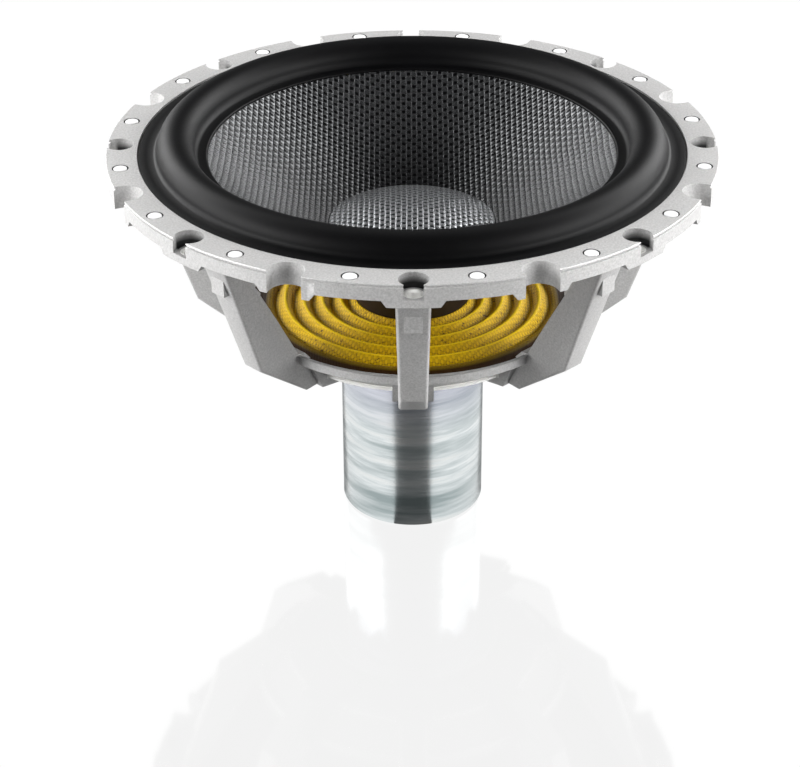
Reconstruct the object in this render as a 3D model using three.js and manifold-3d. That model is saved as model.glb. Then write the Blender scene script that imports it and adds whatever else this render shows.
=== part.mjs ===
// A 20 cm car subwoofer driver: cast basket with eight spokes, rubber surround, woven cone and dust
// cap, corrugated aramid spider and a slim motor with an internal neodymium magnet.
// Millimetres, +Z along the driver's axis. Heights are measured from the flange's top face and are
// negative below it. The finished driver is then raised so that its motor base stands on z = 0.
import * as THREE from "three";
import { mergeVertices } from "three/addons/utils/BufferGeometryUtils.js";
import Module from "manifold-3d";

const wasm = await Module();
wasm.setup();

// Driving dimensions
const GAP = 0.3; // between pieces that touch in the real driver
const DEPTH = 140.6; // flange top face to motor base
const SPOKES = 8;
const SPOKE_PITCH = (2 * Math.PI) / SPOKES;
const FRONT = -Math.PI / 2; // the first spoke points along -Y

// Flange
const FLANGE_R = 104.6;
const FLANGE_THICKNESS = 5.6;
const FLANGE_CHAMFER = 0.4;
const TRIM = 2; // how far the untrimmed rim stands proud
const OVERSHOOT = 5; // how far cutters reach past the metal they cut
const SEAT_R = 94; // recess that holds the surround's outer edge
const SEAT_DEPTH = 1.5;
const OPENING_R = 86;
const BOSS_BOTTOM = -7.9; // the bosses around the notches hang below the rim
const BOSS_HALF_WIDTH = 8.4;
const BOSS_SPLAY = 1.6;
const BOSS_ROOT_Z = -2;
const BOSS_INNER_R = 92;
const BOLT_CIRCLE_R = 100;

// Screw pockets above the spokes and open notches between them
const POCKET_R = 4.9;
const POCKET_CENTRE_R = 100.3;
const POCKET_FLOOR = -5.3;
const POCKET_SLOT_HALF_WIDTH = 3.1;
const SCREW_HOLE_R = 2.3;
const COUNTERSINK_R = 2.9;
const COUNTERSINK_DEPTH = 0.6;
const NOTCH_R = 5.9;
const NOTCH_CENTRE_R = 102.2;

// Grille magnets
const MAGNET_COUNT = 16;
const MAGNET_R = 2.5;
const MAGNET_HEIGHT = 3;

// Spokes: corners of one spoke seen from the side, as radius and height
const SPOKE_TOP_OUTER = [94, -FLANGE_THICKNESS + 1];
const SPOKE_SHOULDER = [90.5, -16.4];
const SPOKE_HEEL = [76, -58];
const SPOKE_TOE = [56, -73];
const SPOKE_TOP_INNER = [89, -FLANGE_THICKNESS + 1];
const SPOKE_FACE_HALF_WIDTH = [5.75, 4.5]; // at the top and at the heel
const SPOKE_BACK_HALF_WIDTH = [6.5, 5.0];
const SPOKE_INNER_TOE = [51, -72.6];
const SPOKE_FOOT_Z = -70; // where its back meets the foot of the bowl
const SPOKE_ON_LIP_R = [57, 59.8]; // where it stands on the bowl's lip
const SPOKE_DRAFT_DEPTH = 12; // distance from face to back over which the width grows
const GUSSET_HALF_WIDTH = 7;
const GUSSET_OUTER = [56.5, -61];
const GUSSET_TOE = [50.7, -73];
const GUSSET_HEEL_R = 41.4;
const GUSSET_BOTTOM = -74.1;
const GUSSET_END_R = 34;
const GUSSET_ROOT_Z = [-70, -69]; // at its inner end and at the foot of the bowl
const LUG_R = 89.6;
const LUG_DEPTH = 4;
const LUG_TOP = -17.5;
const LUG_BOTTOM = -25;
const LUG_HALF_WIDTH = 3;

// Bowl that carries the spider and the motor
const BOWL_LIP_R = 60.7;
const BOWL_LIP_Z = -57.45;
const BOWL_FOOT_R = 48;
const BOWL_FOOT_Z = -69.2;
const BOWL_FOOT_LIP = 0.9;
const BOWL_LIP_WIDTH = 1.2;
const BOWL_FLOOR_TOP = -68.5;
const BOWL_FLOOR_BOTTOM = -71.5;
const BOWL_BORE_R = 22.2;
const SPIDER_LEDGE_Z = -61.4;
const SPIDER_LEDGE_R = 52;

// Motor
const COLUMN_R = 25.57;
const COLUMN_BORE_R = 22.3;
const COLUMN_FLOOR = 10;
const PILLAR_R = 18;
const FRONT_PLATE_R = 33;
const GAP_OUTER_R = 21.9;
const GAP_INNER_R = 18.9;
const PLATE_THICKNESS = 4.7;
const MAIN_MAGNET_HEIGHT = 15;
const BUCKING_MAGNET_HEIGHT = 5;
const RING_HEIGHT = 12;
const RING_WALL = 1.7;
const CLAMP_SCREW_R = 2.5;
const CLAMP_SCREW_DEPTH = 13; // how far it reaches into the pillar
const CLAMP_HEAD_HEIGHT = 3.5;
const CLAMP_HEAD_SHARE = 1.8; // head and socket radius as shares of the shank's
const CLAMP_SOCKET_SHARE = 0.8;
const MOTOR_SCREW_CIRCLE_R = 29;
const MOTOR_SCREW_R = 2;
const MOTOR_SCREW_HEAD_R = 4;
const MOTOR_SCREWS = 4;

// Moving assembly
const CONE_LIP_R = 74.2;
const CONE_EDGE_R = 69.6;
const CONE_EDGE_Z = -2.7;
const CONE_THICKNESS = 1.2;
const CONE_SAG = 1.2;
const VALLEY_R = 29;
const VALLEY_Z = -30;
const NECK_R = 20.5;
const NECK_Z = -37.5;
const NECK_COLLAR_HEIGHT = 3;
const DUST_CAP_HEIGHT = 6;
const DUST_CAP_THICKNESS = 0.8;
const FORMER_OUTER_R = 20.2;
const FORMER_INNER_R = 19.6;
const FORMER_TOP = -36;
const FORMER_BOTTOM = -86;
const WINDING_R = 21.3;
const WINDING_TOP = -64.3;
const WINDING_BOTTOM = -84.3;

// Suspension
const ROLL_CENTRE_R = 81;
const ROLL_R = 6.5;
const ROLL_WALL = 0.9;
const SURROUND_INNER_TOP = -1.6;
const SPIDER_THICKNESS = 0.8;
const SPIDER_MEAN_Z = -60.6;
const SPIDER_WAVE = 1.3;
const SPIDER_FIRST_CREST_R = 25.4;
const SPIDER_WAVE_PITCH = 6.6;
const SPIDER_WAVES = 4;
const SPIDER_OUTER_R = 58.8;
const SPIDER_COLLAR_R = 22;
const SPIDER_COLLAR_HEIGHT = 2.4;

// Terminals, at the back of the bowl
const TERMINAL_ANGLE = FRONT + 3.5 * SPOKE_PITCH;
const TERMINAL_BOARD = { length: 15, width: 26, thickness: 2, innerR: 61.2, top: -58 };
const TERMINAL_SPACING = 15;
const BRACKET = { innerR: 54, inset: 2, sideInset: 1, thickness: 3 };
const TERMINAL = { outward: 5.5, inner: -4, outer: 9, height: 9, metal: 0.8 };
const TERMINAL_HALF_WIDTH = { foot: 3.15, blade: 2.4 };
const RIVET = { baseR: 1.8, topR: 1.5, shoulder: 0.8, height: 1 };

// Materials, shared by like pieces
function material(colour, roughness, metalness) {
  return new THREE.MeshStandardMaterial({ color: colour, roughness, metalness });
}

const CAST_ALUMINIUM = material(0xb9b9bb, 0.5, 0.75);
const NICKEL = material(0xe8e8ea, 0.25, 0.9);
const BLACK_RUBBER = material(0x0b0b0c, 0.6, 0);
const BLACK_WEAVE = material(0x2a2c2e, 0.4, 0);
const YELLOW_ARAMID = material(0xc79a10, 0.7, 0);
const BLACK_FORMER = material(0x141210, 0.45, 0);
const COPPER = material(0xb06a3a, 0.35, 0.9);
const STEEL = material(0x9aa3a6, 0.3, 0.9);
const ZINC = material(0xc9c9c4, 0.4, 0.9);
const BLACK_PLASTIC = material(0x101113, 0.55, 0);
const GOLD_PLATE = material(0xd8b45a, 0.3, 0.9);

// A ring or disc turned about the axis, from its closed outline as [radius, height] points.
function turned(outline, segments = 40) {
  const points = outline.map(([r, z]) => new THREE.Vector2(r, z));
  if (THREE.ShapeUtils.isClockWise(points)) points.reverse();
  const onAxis = points.findIndex((p) => p.x === 0);
  if (onAxis < 0) return new THREE.LatheGeometry([...points, points[0]], segments).rotateX(Math.PI / 2);
  const fromAxis = [...points.slice(onAxis), ...points.slice(0, onAxis)];
  const ordered = fromAxis[fromAxis.length - 1].x === 0 ? fromAxis : [...fromAxis.slice(1), fromAxis[0]];
  return new THREE.LatheGeometry(ordered, segments).rotateX(Math.PI / 2);
}

function disc(radius, bottom, top, segments = 20) {
  return new THREE.CylinderGeometry(radius, radius, top - bottom, segments)
    .rotateX(Math.PI / 2)
    .translate(0, 0, (top + bottom) / 2);
}

function washer(innerR, outerR, bottom, top, segments = 32) {
  return turned([[innerR, bottom], [outerR, bottom], [outerR, top], [innerR, top]], segments);
}

function block(xMin, xMax, halfWidth, bottom, top) {
  return new THREE.BoxGeometry(xMax - xMin, 2 * halfWidth, top - bottom)
    .translate((xMin + xMax) / 2, 0, (top + bottom) / 2);
}

// A plate standing in the plane through the axis, whose half width may change over its side outline.
function blade(outline, halfWidth) {
  const shape = new THREE.Shape(outline.map(([r, z]) => new THREE.Vector2(r, z)));
  const plate = new THREE.ExtrudeGeometry(shape, { depth: 1, bevelEnabled: false }).rotateX(Math.PI / 2);
  const position = plate.getAttribute("position");
  for (let i = 0; i < position.count; i += 1) {
    const side = position.getY(i) < -0.5 ? -1 : 1;
    position.setY(i, side * halfWidth(position.getX(i), position.getZ(i)));
  }
  return plate;
}

function around(geometry, angle) {
  return geometry.clone().rotateZ(angle);
}

function spokeAngle(steps) {
  return FRONT + steps * SPOKE_PITCH;
}

// Boolean cut and join on closed meshes
function toSolid(geometry) {
  const plain = geometry.clone();
  plain.deleteAttribute("normal");
  plain.deleteAttribute("uv");
  const merged = mergeVertices(plain, 1e-4);
  const index = Array.from(merged.index.array);
  const triangles = [];
  for (let i = 0; i < index.length; i += 3) {
    const [a, b, c] = index.slice(i, i + 3);
    if (a !== b && b !== c && c !== a) triangles.push(a, b, c);
  }
  const mesh = new wasm.Mesh({
    numProp: 3,
    vertProperties: merged.getAttribute("position").array,
    triVerts: new Uint32Array(triangles),
  });
  return new wasm.Manifold(mesh);
}

function toGeometry(solid) {
  const mesh = solid.getMesh();
  const geometry = new THREE.BufferGeometry();
  geometry.setAttribute("position", new THREE.BufferAttribute(mesh.vertProperties, 3));
  geometry.setIndex(new THREE.BufferAttribute(mesh.triVerts, 1));
  return geometry;
}

function join(parts) {
  return parts.map(toSolid).reduce((whole, part) => whole.add(part));
}

function cut(solid, tools) {
  return tools.map(toSolid).reduce((whole, tool) => whole.subtract(tool), solid);
}

function mix(from, to, share) {
  return from + (to - from) * THREE.MathUtils.clamp(share, 0, 1);
}

// Basket. The rim is made oversize and then trimmed to the envelope with its bosses.
function flangeRing() {
  return turned(
    [
      [OPENING_R, -FLANGE_THICKNESS],
      [FLANGE_R + TRIM, -FLANGE_THICKNESS],
      [FLANGE_R + TRIM, TRIM],
      [SEAT_R, TRIM],
      [SEAT_R, -SEAT_DEPTH],
      [OPENING_R, -SEAT_DEPTH],
    ],
    64,
  );
}

function rimEnvelope() {
  return turned(
    [[0, -DEPTH], [FLANGE_R, -DEPTH], [FLANGE_R, -FLANGE_CHAMFER], [FLANGE_R - FLANGE_CHAMFER, 0], [0, 0]],
    64,
  );
}

// A boss under the rim, around one pocket or notch.
function boss() {
  const wide = BOSS_HALF_WIDTH + BOSS_SPLAY;
  const outline = new THREE.Shape([
    new THREE.Vector2(-BOSS_HALF_WIDTH, BOSS_BOTTOM),
    new THREE.Vector2(BOSS_HALF_WIDTH, BOSS_BOTTOM),
    new THREE.Vector2(wide, -FLANGE_THICKNESS),
    new THREE.Vector2(wide, BOSS_ROOT_Z),
    new THREE.Vector2(-wide, BOSS_ROOT_Z),
    new THREE.Vector2(-wide, -FLANGE_THICKNESS),
  ]);
  return new THREE.ExtrudeGeometry(outline, { depth: FLANGE_R + TRIM - BOSS_INNER_R, bevelEnabled: false })
    .rotateX(Math.PI / 2)
    .rotateZ(Math.PI / 2)
    .translate(BOSS_INNER_R, 0, 0);
}

function spoke() {
  const outline = [SPOKE_TOP_OUTER, SPOKE_SHOULDER, SPOKE_HEEL, SPOKE_TOE, SPOKE_INNER_TOE];
  outline.push([BOWL_FOOT_R - 2, SPOKE_FOOT_Z]);
  outline.push(...SPOKE_ON_LIP_R.map((r) => [r, BOWL_LIP_Z]), SPOKE_TOP_INNER);
  return blade(outline, (r, z) => {
    const down = z / SPOKE_HEEL[1];
    const faceR = mix(SPOKE_TOP_OUTER[0], SPOKE_HEEL[0], down);
    const inward = (faceR - r) / SPOKE_DRAFT_DEPTH;
    const face = mix(...SPOKE_FACE_HALF_WIDTH, down);
    const back = mix(...SPOKE_BACK_HALF_WIDTH, down);
    return mix(face, back, inward);
  });
}

// A wide rib under the bowl, behind the spoke's toe.
function gusset() {
  const outline = [GUSSET_OUTER, GUSSET_TOE, [GUSSET_HEEL_R, GUSSET_BOTTOM], [GUSSET_END_R, GUSSET_BOTTOM]];
  outline.push([GUSSET_END_R, GUSSET_ROOT_Z[0]], [BOWL_FOOT_R - 2, GUSSET_ROOT_Z[1]]);
  return blade(outline, () => GUSSET_HALF_WIDTH);
}

// The small lug near the top of each spoke's outer face, with an upright front.
function lug() {
  const backR = LUG_R - LUG_DEPTH;
  const outline = [[LUG_R, LUG_TOP], [backR, LUG_TOP], [backR, LUG_BOTTOM], [LUG_R, LUG_BOTTOM]];
  return blade(outline, () => LUG_HALF_WIDTH);
}

// The bowl before the spider's seat is cut into its lip.
function bowl() {
  return turned([
    [BOWL_BORE_R, BOWL_FLOOR_BOTTOM],
    [BOWL_FOOT_R - 2, BOWL_FLOOR_BOTTOM],
    [BOWL_FOOT_R, BOWL_FOOT_Z - BOWL_FOOT_LIP],
    [BOWL_FOOT_R, BOWL_FOOT_Z],
    [BOWL_LIP_R, BOWL_LIP_Z],
    [SPIDER_LEDGE_R, BOWL_LIP_Z],
    [SPIDER_LEDGE_R, SPIDER_LEDGE_Z - 1],
    [BOWL_FOOT_R - 4, BOWL_FLOOR_TOP],
    [BOWL_BORE_R, BOWL_FLOOR_TOP],
  ]);
}

// A flat ear behind the bowl, which carries the terminal board.
function terminalBracket() {
  const top = TERMINAL_BOARD.top - TERMINAL_BOARD.thickness - GAP;
  const outerR = TERMINAL_BOARD.innerR + TERMINAL_BOARD.length - BRACKET.inset;
  const halfWidth = TERMINAL_BOARD.width / 2 - BRACKET.sideInset;
  return block(BRACKET.innerR, outerR, halfWidth, top - BRACKET.thickness, top);
}

function pocketCutters(angle) {
  const cutters = [
    disc(POCKET_R, POCKET_FLOOR, OVERSHOOT).translate(POCKET_CENTRE_R, 0, 0),
    block(BOLT_CIRCLE_R, FLANGE_R + OVERSHOOT, POCKET_SLOT_HALF_WIDTH, POCKET_FLOOR, OVERSHOOT),
    disc(SCREW_HOLE_R, BOSS_BOTTOM - OVERSHOOT, 0, 12).translate(BOLT_CIRCLE_R, 0, 0),
    turned([
      [0, POCKET_FLOOR - COUNTERSINK_DEPTH],
      [SCREW_HOLE_R, POCKET_FLOOR - COUNTERSINK_DEPTH],
      [COUNTERSINK_R, POCKET_FLOOR],
      [COUNTERSINK_R, -1],
      [0, -1],
    ], 12).translate(BOLT_CIRCLE_R, 0, 0),
  ];
  return cutters.map((cutter) => around(cutter, angle));
}

function notchCutters(angle) {
  const bottom = BOSS_BOTTOM - OVERSHOOT;
  const cutters = [
    disc(NOTCH_R, bottom, OVERSHOOT).translate(NOTCH_CENTRE_R, 0, 0),
    block(NOTCH_CENTRE_R, FLANGE_R + OVERSHOOT, NOTCH_R, bottom, OVERSHOOT),
  ];
  return cutters.map((cutter) => around(cutter, angle));
}

function magnetAngle(k) {
  return spokeAngle((k + 0.5) / 2);
}

function motorScrewAngle(k) {
  return FRONT + ((k + 0.5) * 2 * Math.PI) / MOTOR_SCREWS;
}

function terminalAt(geometry, side) {
  return geometry
    .clone()
    .translate(TERMINAL_BOARD.innerR + TERMINAL.outward, (side * TERMINAL_SPACING) / 2, 0)
    .rotateZ(TERMINAL_ANGLE);
}

function basket() {
  const parts = [flangeRing(), bowl(), around(terminalBracket(), TERMINAL_ANGLE)];
  const cutters = [];
  for (let k = 0; k < SPOKES; k += 1) {
    const onSpoke = spokeAngle(k);
    const between = spokeAngle(k + 0.5);
    parts.push(...[boss(), spoke(), gusset(), lug()].map((part) => around(part, onSpoke)));
    parts.push(around(boss(), between));
    cutters.push(...pocketCutters(onSpoke), ...notchCutters(between));
  }
  for (let k = 0; k < MAGNET_COUNT; k += 1) {
    const pocket = disc(MAGNET_R + GAP, -MAGNET_HEIGHT - GAP, OVERSHOOT, 12);
    cutters.push(around(pocket.translate(BOLT_CIRCLE_R, 0, 0), magnetAngle(k)));
  }
  for (let k = 0; k < MOTOR_SCREWS; k += 1) {
    const hole = flatHeadScrew(BOWL_FLOOR_TOP + 2, BOWL_FLOOR_BOTTOM - OVERSHOOT, GAP);
    cutters.push(around(hole.translate(MOTOR_SCREW_CIRCLE_R, 0, 0), motorScrewAngle(k)));
  }
  cutters.push(disc(BOWL_LIP_R - BOWL_LIP_WIDTH, SPIDER_LEDGE_Z, OVERSHOOT, 48));
  return toGeometry(cut(join(parts).intersect(toSolid(rimEnvelope())), cutters));
}

function grilleMagnet(k) {
  const magnet = disc(MAGNET_R, -MAGNET_HEIGHT, 0, 12).translate(BOLT_CIRCLE_R, 0, 0);
  return around(magnet, magnetAngle(k));
}

// Suspension
function arc(centreR, centreZ, radius, from, to, steps) {
  const points = [];
  for (let i = 0; i <= steps; i += 1) {
    const angle = mix(from, to, i / steps);
    points.push([centreR + radius * Math.cos(angle), centreZ + radius * Math.sin(angle)]);
  }
  return points;
}

function surround() {
  const outerR = SEAT_R - GAP;
  const outerTop = -0.3;
  const bottom = -SEAT_DEPTH + GAP;
  const innerBottom = SURROUND_INNER_TOP - ROLL_WALL;
  const innerRoll = ROLL_R - ROLL_WALL;
  return turned([
    [outerR, bottom],
    [outerR, outerTop],
    ...arc(ROLL_CENTRE_R, 0, ROLL_R, 0, Math.PI, 8),
    [ROLL_CENTRE_R - ROLL_R, SURROUND_INNER_TOP],
    [CONE_EDGE_R + 0.4, SURROUND_INNER_TOP],
    [CONE_EDGE_R + 0.4, innerBottom],
    [ROLL_CENTRE_R - innerRoll, innerBottom],
    ...arc(ROLL_CENTRE_R, 0, innerRoll, Math.PI, 0, 6),
    [ROLL_CENTRE_R + innerRoll, bottom],
  ], 48);
}

function spiderHeight(r) {
  const end = SPIDER_FIRST_CREST_R + (SPIDER_WAVES - 0.5) * SPIDER_WAVE_PITCH;
  if (r > end || r < SPIDER_FIRST_CREST_R - SPIDER_WAVE_PITCH / 2) return SPIDER_MEAN_Z;
  const phase = (2 * Math.PI * (r - SPIDER_FIRST_CREST_R)) / SPIDER_WAVE_PITCH;
  return SPIDER_MEAN_Z + SPIDER_WAVE * Math.cos(phase);
}

function spider() {
  const step = SPIDER_WAVE_PITCH / 2;
  const radii = [];
  for (let i = 0; i < SPIDER_WAVES * 2; i += 1) {
    radii.push(SPIDER_FIRST_CREST_R + i * step);
  }
  radii.push(SPIDER_LEDGE_R, SPIDER_OUTER_R);
  const half = SPIDER_THICKNESS / 2;
  const top = radii.map((r) => [r, spiderHeight(r) + half]);
  const under = radii.map((r) => [r, spiderHeight(r) - half]).reverse();
  const boreR = FORMER_OUTER_R + GAP;
  const collar = [
    [SPIDER_COLLAR_R, SPIDER_MEAN_Z - half],
    [boreR, SPIDER_MEAN_Z - half],
    [boreR, SPIDER_MEAN_Z + SPIDER_COLLAR_HEIGHT],
    [SPIDER_COLLAR_R, SPIDER_MEAN_Z + SPIDER_COLLAR_HEIGHT],
    [SPIDER_COLLAR_R, SPIDER_MEAN_Z + half],
  ];
  return turned([...collar, ...top, ...under]);
}

// Moving assembly
function coneHeight(r) {
  const share = (CONE_EDGE_R - r) / (CONE_EDGE_R - VALLEY_R);
  return mix(CONE_EDGE_Z, VALLEY_Z, share) - CONE_SAG * 4 * share * (1 - share);
}

function cone() {
  const steps = 4;
  const face = [];
  for (let i = 0; i <= steps; i += 1) {
    const r = mix(CONE_EDGE_R, VALLEY_R, i / steps);
    face.push([r, coneHeight(r)]);
  }
  face.push([NECK_R, NECK_Z]);
  const back = face.map(([r, z]) => [r + CONE_THICKNESS * 0.5, z - CONE_THICKNESS]).reverse();
  const collarR = NECK_R + CONE_THICKNESS;
  return turned([
    [CONE_LIP_R, CONE_EDGE_Z - CONE_THICKNESS],
    [CONE_LIP_R, CONE_EDGE_Z],
    ...face,
    [NECK_R, NECK_Z - NECK_COLLAR_HEIGHT],
    [collarR, NECK_Z - NECK_COLLAR_HEIGHT],
    [collarR, NECK_Z - CONE_THICKNESS],
    ...back.slice(1),
  ]);
}

function dustCap() {
  const rimZ = VALLEY_Z + 0.7;
  const sphereR = (VALLEY_R ** 2 + DUST_CAP_HEIGHT ** 2) / (2 * DUST_CAP_HEIGHT);
  const centreZ = rimZ + DUST_CAP_HEIGHT - sphereR;
  const edge = Math.acos(VALLEY_R / sphereR);
  const outer = arc(0, centreZ, sphereR, edge, Math.PI / 2, 5);
  outer[outer.length - 1][0] = 0;
  const inner = outer.map(([r, z]) => [r, z - DUST_CAP_THICKNESS]).reverse();
  inner[inner.length - 1][0] -= DUST_CAP_THICKNESS;
  return turned([...outer, ...inner]);
}

function former() {
  return washer(FORMER_INNER_R, FORMER_OUTER_R, FORMER_BOTTOM, FORMER_TOP);
}

function winding() {
  return washer(FORMER_OUTER_R + GAP, WINDING_R, WINDING_BOTTOM, WINDING_TOP);
}

// Motor, stacked down from the basket floor
const PLATE_TOP = BOWL_FLOOR_BOTTOM - GAP;
const PLATE_BOTTOM = PLATE_TOP - PLATE_THICKNESS;
const COLUMN_TOP = PLATE_BOTTOM - GAP;
const MAIN_MAGNET_TOP = PLATE_BOTTOM - GAP;
const MAIN_MAGNET_BOTTOM = MAIN_MAGNET_TOP - MAIN_MAGNET_HEIGHT;
const PILLAR_TOP = MAIN_MAGNET_BOTTOM - GAP;
const SHOULDER_Z = PILLAR_TOP - RING_HEIGHT - GAP;
const CLAMP_HOLE_R = CLAMP_SCREW_R + GAP;

function frontPlate() {
  const plate = toSolid(washer(GAP_OUTER_R, FRONT_PLATE_R, PLATE_BOTTOM, PLATE_TOP));
  const holes = [];
  for (let k = 0; k < MOTOR_SCREWS; k += 1) {
    const hole = disc(MOTOR_SCREW_R + GAP, PLATE_BOTTOM - 1, PLATE_TOP + 1, 12);
    holes.push(around(hole.translate(MOTOR_SCREW_CIRCLE_R, 0, 0), motorScrewAngle(k)));
  }
  return toGeometry(cut(plate, holes));
}

function yoke() {
  const floorZ = -DEPTH + COLUMN_FLOOR;
  const holeBottom = PILLAR_TOP - CLAMP_SCREW_DEPTH - 1;
  return turned([
    [0, -DEPTH],
    [COLUMN_R - 0.6, -DEPTH],
    [COLUMN_R, -DEPTH + 0.6],
    [COLUMN_R, COLUMN_TOP],
    [COLUMN_BORE_R, COLUMN_TOP],
    [COLUMN_BORE_R, floorZ],
    [PILLAR_R, floorZ],
    [PILLAR_R, SHOULDER_Z],
    [PILLAR_R - RING_WALL - GAP, SHOULDER_Z],
    [PILLAR_R - RING_WALL - GAP, PILLAR_TOP],
    [CLAMP_HOLE_R, PILLAR_TOP],
    [CLAMP_HOLE_R, holeBottom],
    [0, holeBottom],
  ], 32);
}

function poleDisc(radius, bottom, top) {
  return washer(CLAMP_HOLE_R, radius, bottom, top);
}

function shortingRing() {
  return washer(PILLAR_R - RING_WALL, PILLAR_R, SHOULDER_Z + GAP, PILLAR_TOP);
}

// A cap screw with a socket, along the axis through the magnets into the pillar.
function poleClampScrew() {
  const headR = CLAMP_SCREW_R * CLAMP_HEAD_SHARE;
  const socketR = CLAMP_SCREW_R * CLAMP_SOCKET_SHARE;
  const seat = PLATE_TOP + BUCKING_MAGNET_HEIGHT + GAP;
  const top = seat + CLAMP_HEAD_HEIGHT;
  const tip = PILLAR_TOP - CLAMP_SCREW_DEPTH;
  return turned([
    [0, tip],
    [CLAMP_SCREW_R, tip],
    [CLAMP_SCREW_R, seat],
    [headR, seat],
    [headR, top],
    [socketR, top],
    [socketR, top - CLAMP_HEAD_HEIGHT / 2],
    [0, top - CLAMP_HEAD_HEIGHT / 2],
  ], 12);
}

// A flat head screw standing at the axis. With an allowance it is the hole for the same screw.
function flatHeadScrew(top, tip, allowance) {
  const shankR = MOTOR_SCREW_R + allowance;
  const headR = MOTOR_SCREW_HEAD_R + allowance;
  const headTop = BOWL_FLOOR_TOP;
  return turned([
    [0, tip],
    [shankR, tip],
    [shankR, headTop - MOTOR_SCREW_HEAD_R + MOTOR_SCREW_R - allowance],
    [headR, headTop - allowance],
    [headR, top],
    [0, top],
  ], 12);
}

function motorScrew(k) {
  const shape = flatHeadScrew(BOWL_FLOOR_TOP + 0.1, PLATE_BOTTOM + 0.5, 0);
  return around(shape.translate(MOTOR_SCREW_CIRCLE_R, 0, 0), motorScrewAngle(k));
}

// Terminals: a small board on the bowl's ear, with two blade terminals and two rivets
function terminalBoard() {
  const { length, width, thickness, innerR, top } = TERMINAL_BOARD;
  return around(block(innerR, innerR + length, width / 2, top - thickness, top), TERMINAL_ANGLE);
}

function bladeTerminal(side) {
  const { inner, outer, height, metal } = TERMINAL;
  const foot = TERMINAL_BOARD.top + GAP;
  const outline = [[inner, foot], [outer, foot], [outer, foot + height]];
  outline.push([outer - metal, foot + height], [outer - metal, foot + metal], [inner, foot + metal]);
  const halfWidth = (r, z) => TERMINAL_HALF_WIDTH[z > foot + height / 2 ? "blade" : "foot"];
  return terminalAt(blade(outline, halfWidth), side);
}

function terminalRivet(side) {
  const { baseR, topR, shoulder, height } = RIVET;
  const foot = TERMINAL_BOARD.top + TERMINAL.metal + 2 * GAP;
  const head = turned([[0, foot], [baseR, foot], [topR, foot + shoulder], [0, foot + height]], 12);
  return terminalAt(head, side);
}

const driver = new THREE.Group();
driver.position.z = DEPTH;

function add(name, geometry, look) {
  const mesh = new THREE.Mesh(geometry, look);
  mesh.name = name;
  driver.add(mesh);
}

add("basket", basket(), CAST_ALUMINIUM);
for (let k = 0; k < MAGNET_COUNT; k += 1) {
  add(`grille_magnet_${String(k + 1).padStart(2, "0")}`, grilleMagnet(k), NICKEL);
}
add("surround", surround(), BLACK_RUBBER);
add("cone", cone(), BLACK_WEAVE);
add("dust_cap", dustCap(), BLACK_WEAVE);
add("voice_coil_former", former(), BLACK_FORMER);
add("voice_coil_winding", winding(), COPPER);
add("spider", spider(), YELLOW_ARAMID);
add("front_plate", frontPlate(), STEEL);
add("pole_plate", poleDisc(GAP_INNER_R, PLATE_BOTTOM, PLATE_TOP), STEEL);
add("main_magnet", poleDisc(PILLAR_R, MAIN_MAGNET_BOTTOM, MAIN_MAGNET_TOP), NICKEL);
add("bucking_magnet", poleDisc(PILLAR_R - 1, PLATE_TOP + GAP, PLATE_TOP + BUCKING_MAGNET_HEIGHT), NICKEL);
add("shorting_ring", shortingRing(), COPPER);
add("yoke", yoke(), STEEL);
add("pole_clamp_screw", poleClampScrew(), ZINC);
for (let k = 0; k < MOTOR_SCREWS; k += 1) {
  add(`motor_screw_${k + 1}`, motorScrew(k), ZINC);
}
add("terminal_board", terminalBoard(), BLACK_PLASTIC);
for (const [name, side] of [["positive", 1], ["negative", -1]]) {
  add(`terminal_${name}`, bladeTerminal(side), GOLD_PLATE);
  add(`terminal_rivet_${name}`, terminalRivet(side), ZINC);
}

export default driver;
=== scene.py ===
import math

import bmesh
import bpy
from mathutils import Matrix, Vector
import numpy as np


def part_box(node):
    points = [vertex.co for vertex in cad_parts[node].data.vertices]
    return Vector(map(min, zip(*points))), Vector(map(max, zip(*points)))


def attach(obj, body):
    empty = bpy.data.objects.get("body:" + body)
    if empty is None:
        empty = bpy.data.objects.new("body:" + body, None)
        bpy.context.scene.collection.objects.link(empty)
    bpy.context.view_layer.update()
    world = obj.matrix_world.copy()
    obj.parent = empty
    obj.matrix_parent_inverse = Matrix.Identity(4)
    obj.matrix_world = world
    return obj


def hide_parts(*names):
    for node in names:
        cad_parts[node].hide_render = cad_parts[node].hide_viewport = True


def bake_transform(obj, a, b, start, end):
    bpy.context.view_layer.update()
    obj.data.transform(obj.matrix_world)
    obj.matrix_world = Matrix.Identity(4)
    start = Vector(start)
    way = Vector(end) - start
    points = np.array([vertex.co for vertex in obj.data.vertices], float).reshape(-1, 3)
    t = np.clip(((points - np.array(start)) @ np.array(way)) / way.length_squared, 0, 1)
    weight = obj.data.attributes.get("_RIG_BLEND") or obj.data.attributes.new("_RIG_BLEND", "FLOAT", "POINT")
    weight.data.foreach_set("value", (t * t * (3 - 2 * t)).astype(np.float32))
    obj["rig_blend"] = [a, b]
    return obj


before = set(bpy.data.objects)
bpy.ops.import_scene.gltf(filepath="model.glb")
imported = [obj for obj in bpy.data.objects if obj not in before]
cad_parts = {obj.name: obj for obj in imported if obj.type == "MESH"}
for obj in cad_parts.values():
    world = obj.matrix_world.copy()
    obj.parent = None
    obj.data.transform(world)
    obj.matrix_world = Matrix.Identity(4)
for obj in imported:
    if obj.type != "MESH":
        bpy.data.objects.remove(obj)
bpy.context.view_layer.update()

bl_info = {
    "name": "Subwoofer Driver",
    "version": (1, 0, 0),
    "blender": (4, 5, 0),
    "location": "3D View > Sidebar > Driver",
    "description": "Models a car subwoofer driver: basket, suspension, cone and slim motor",
    "category": "Object",
}

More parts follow.
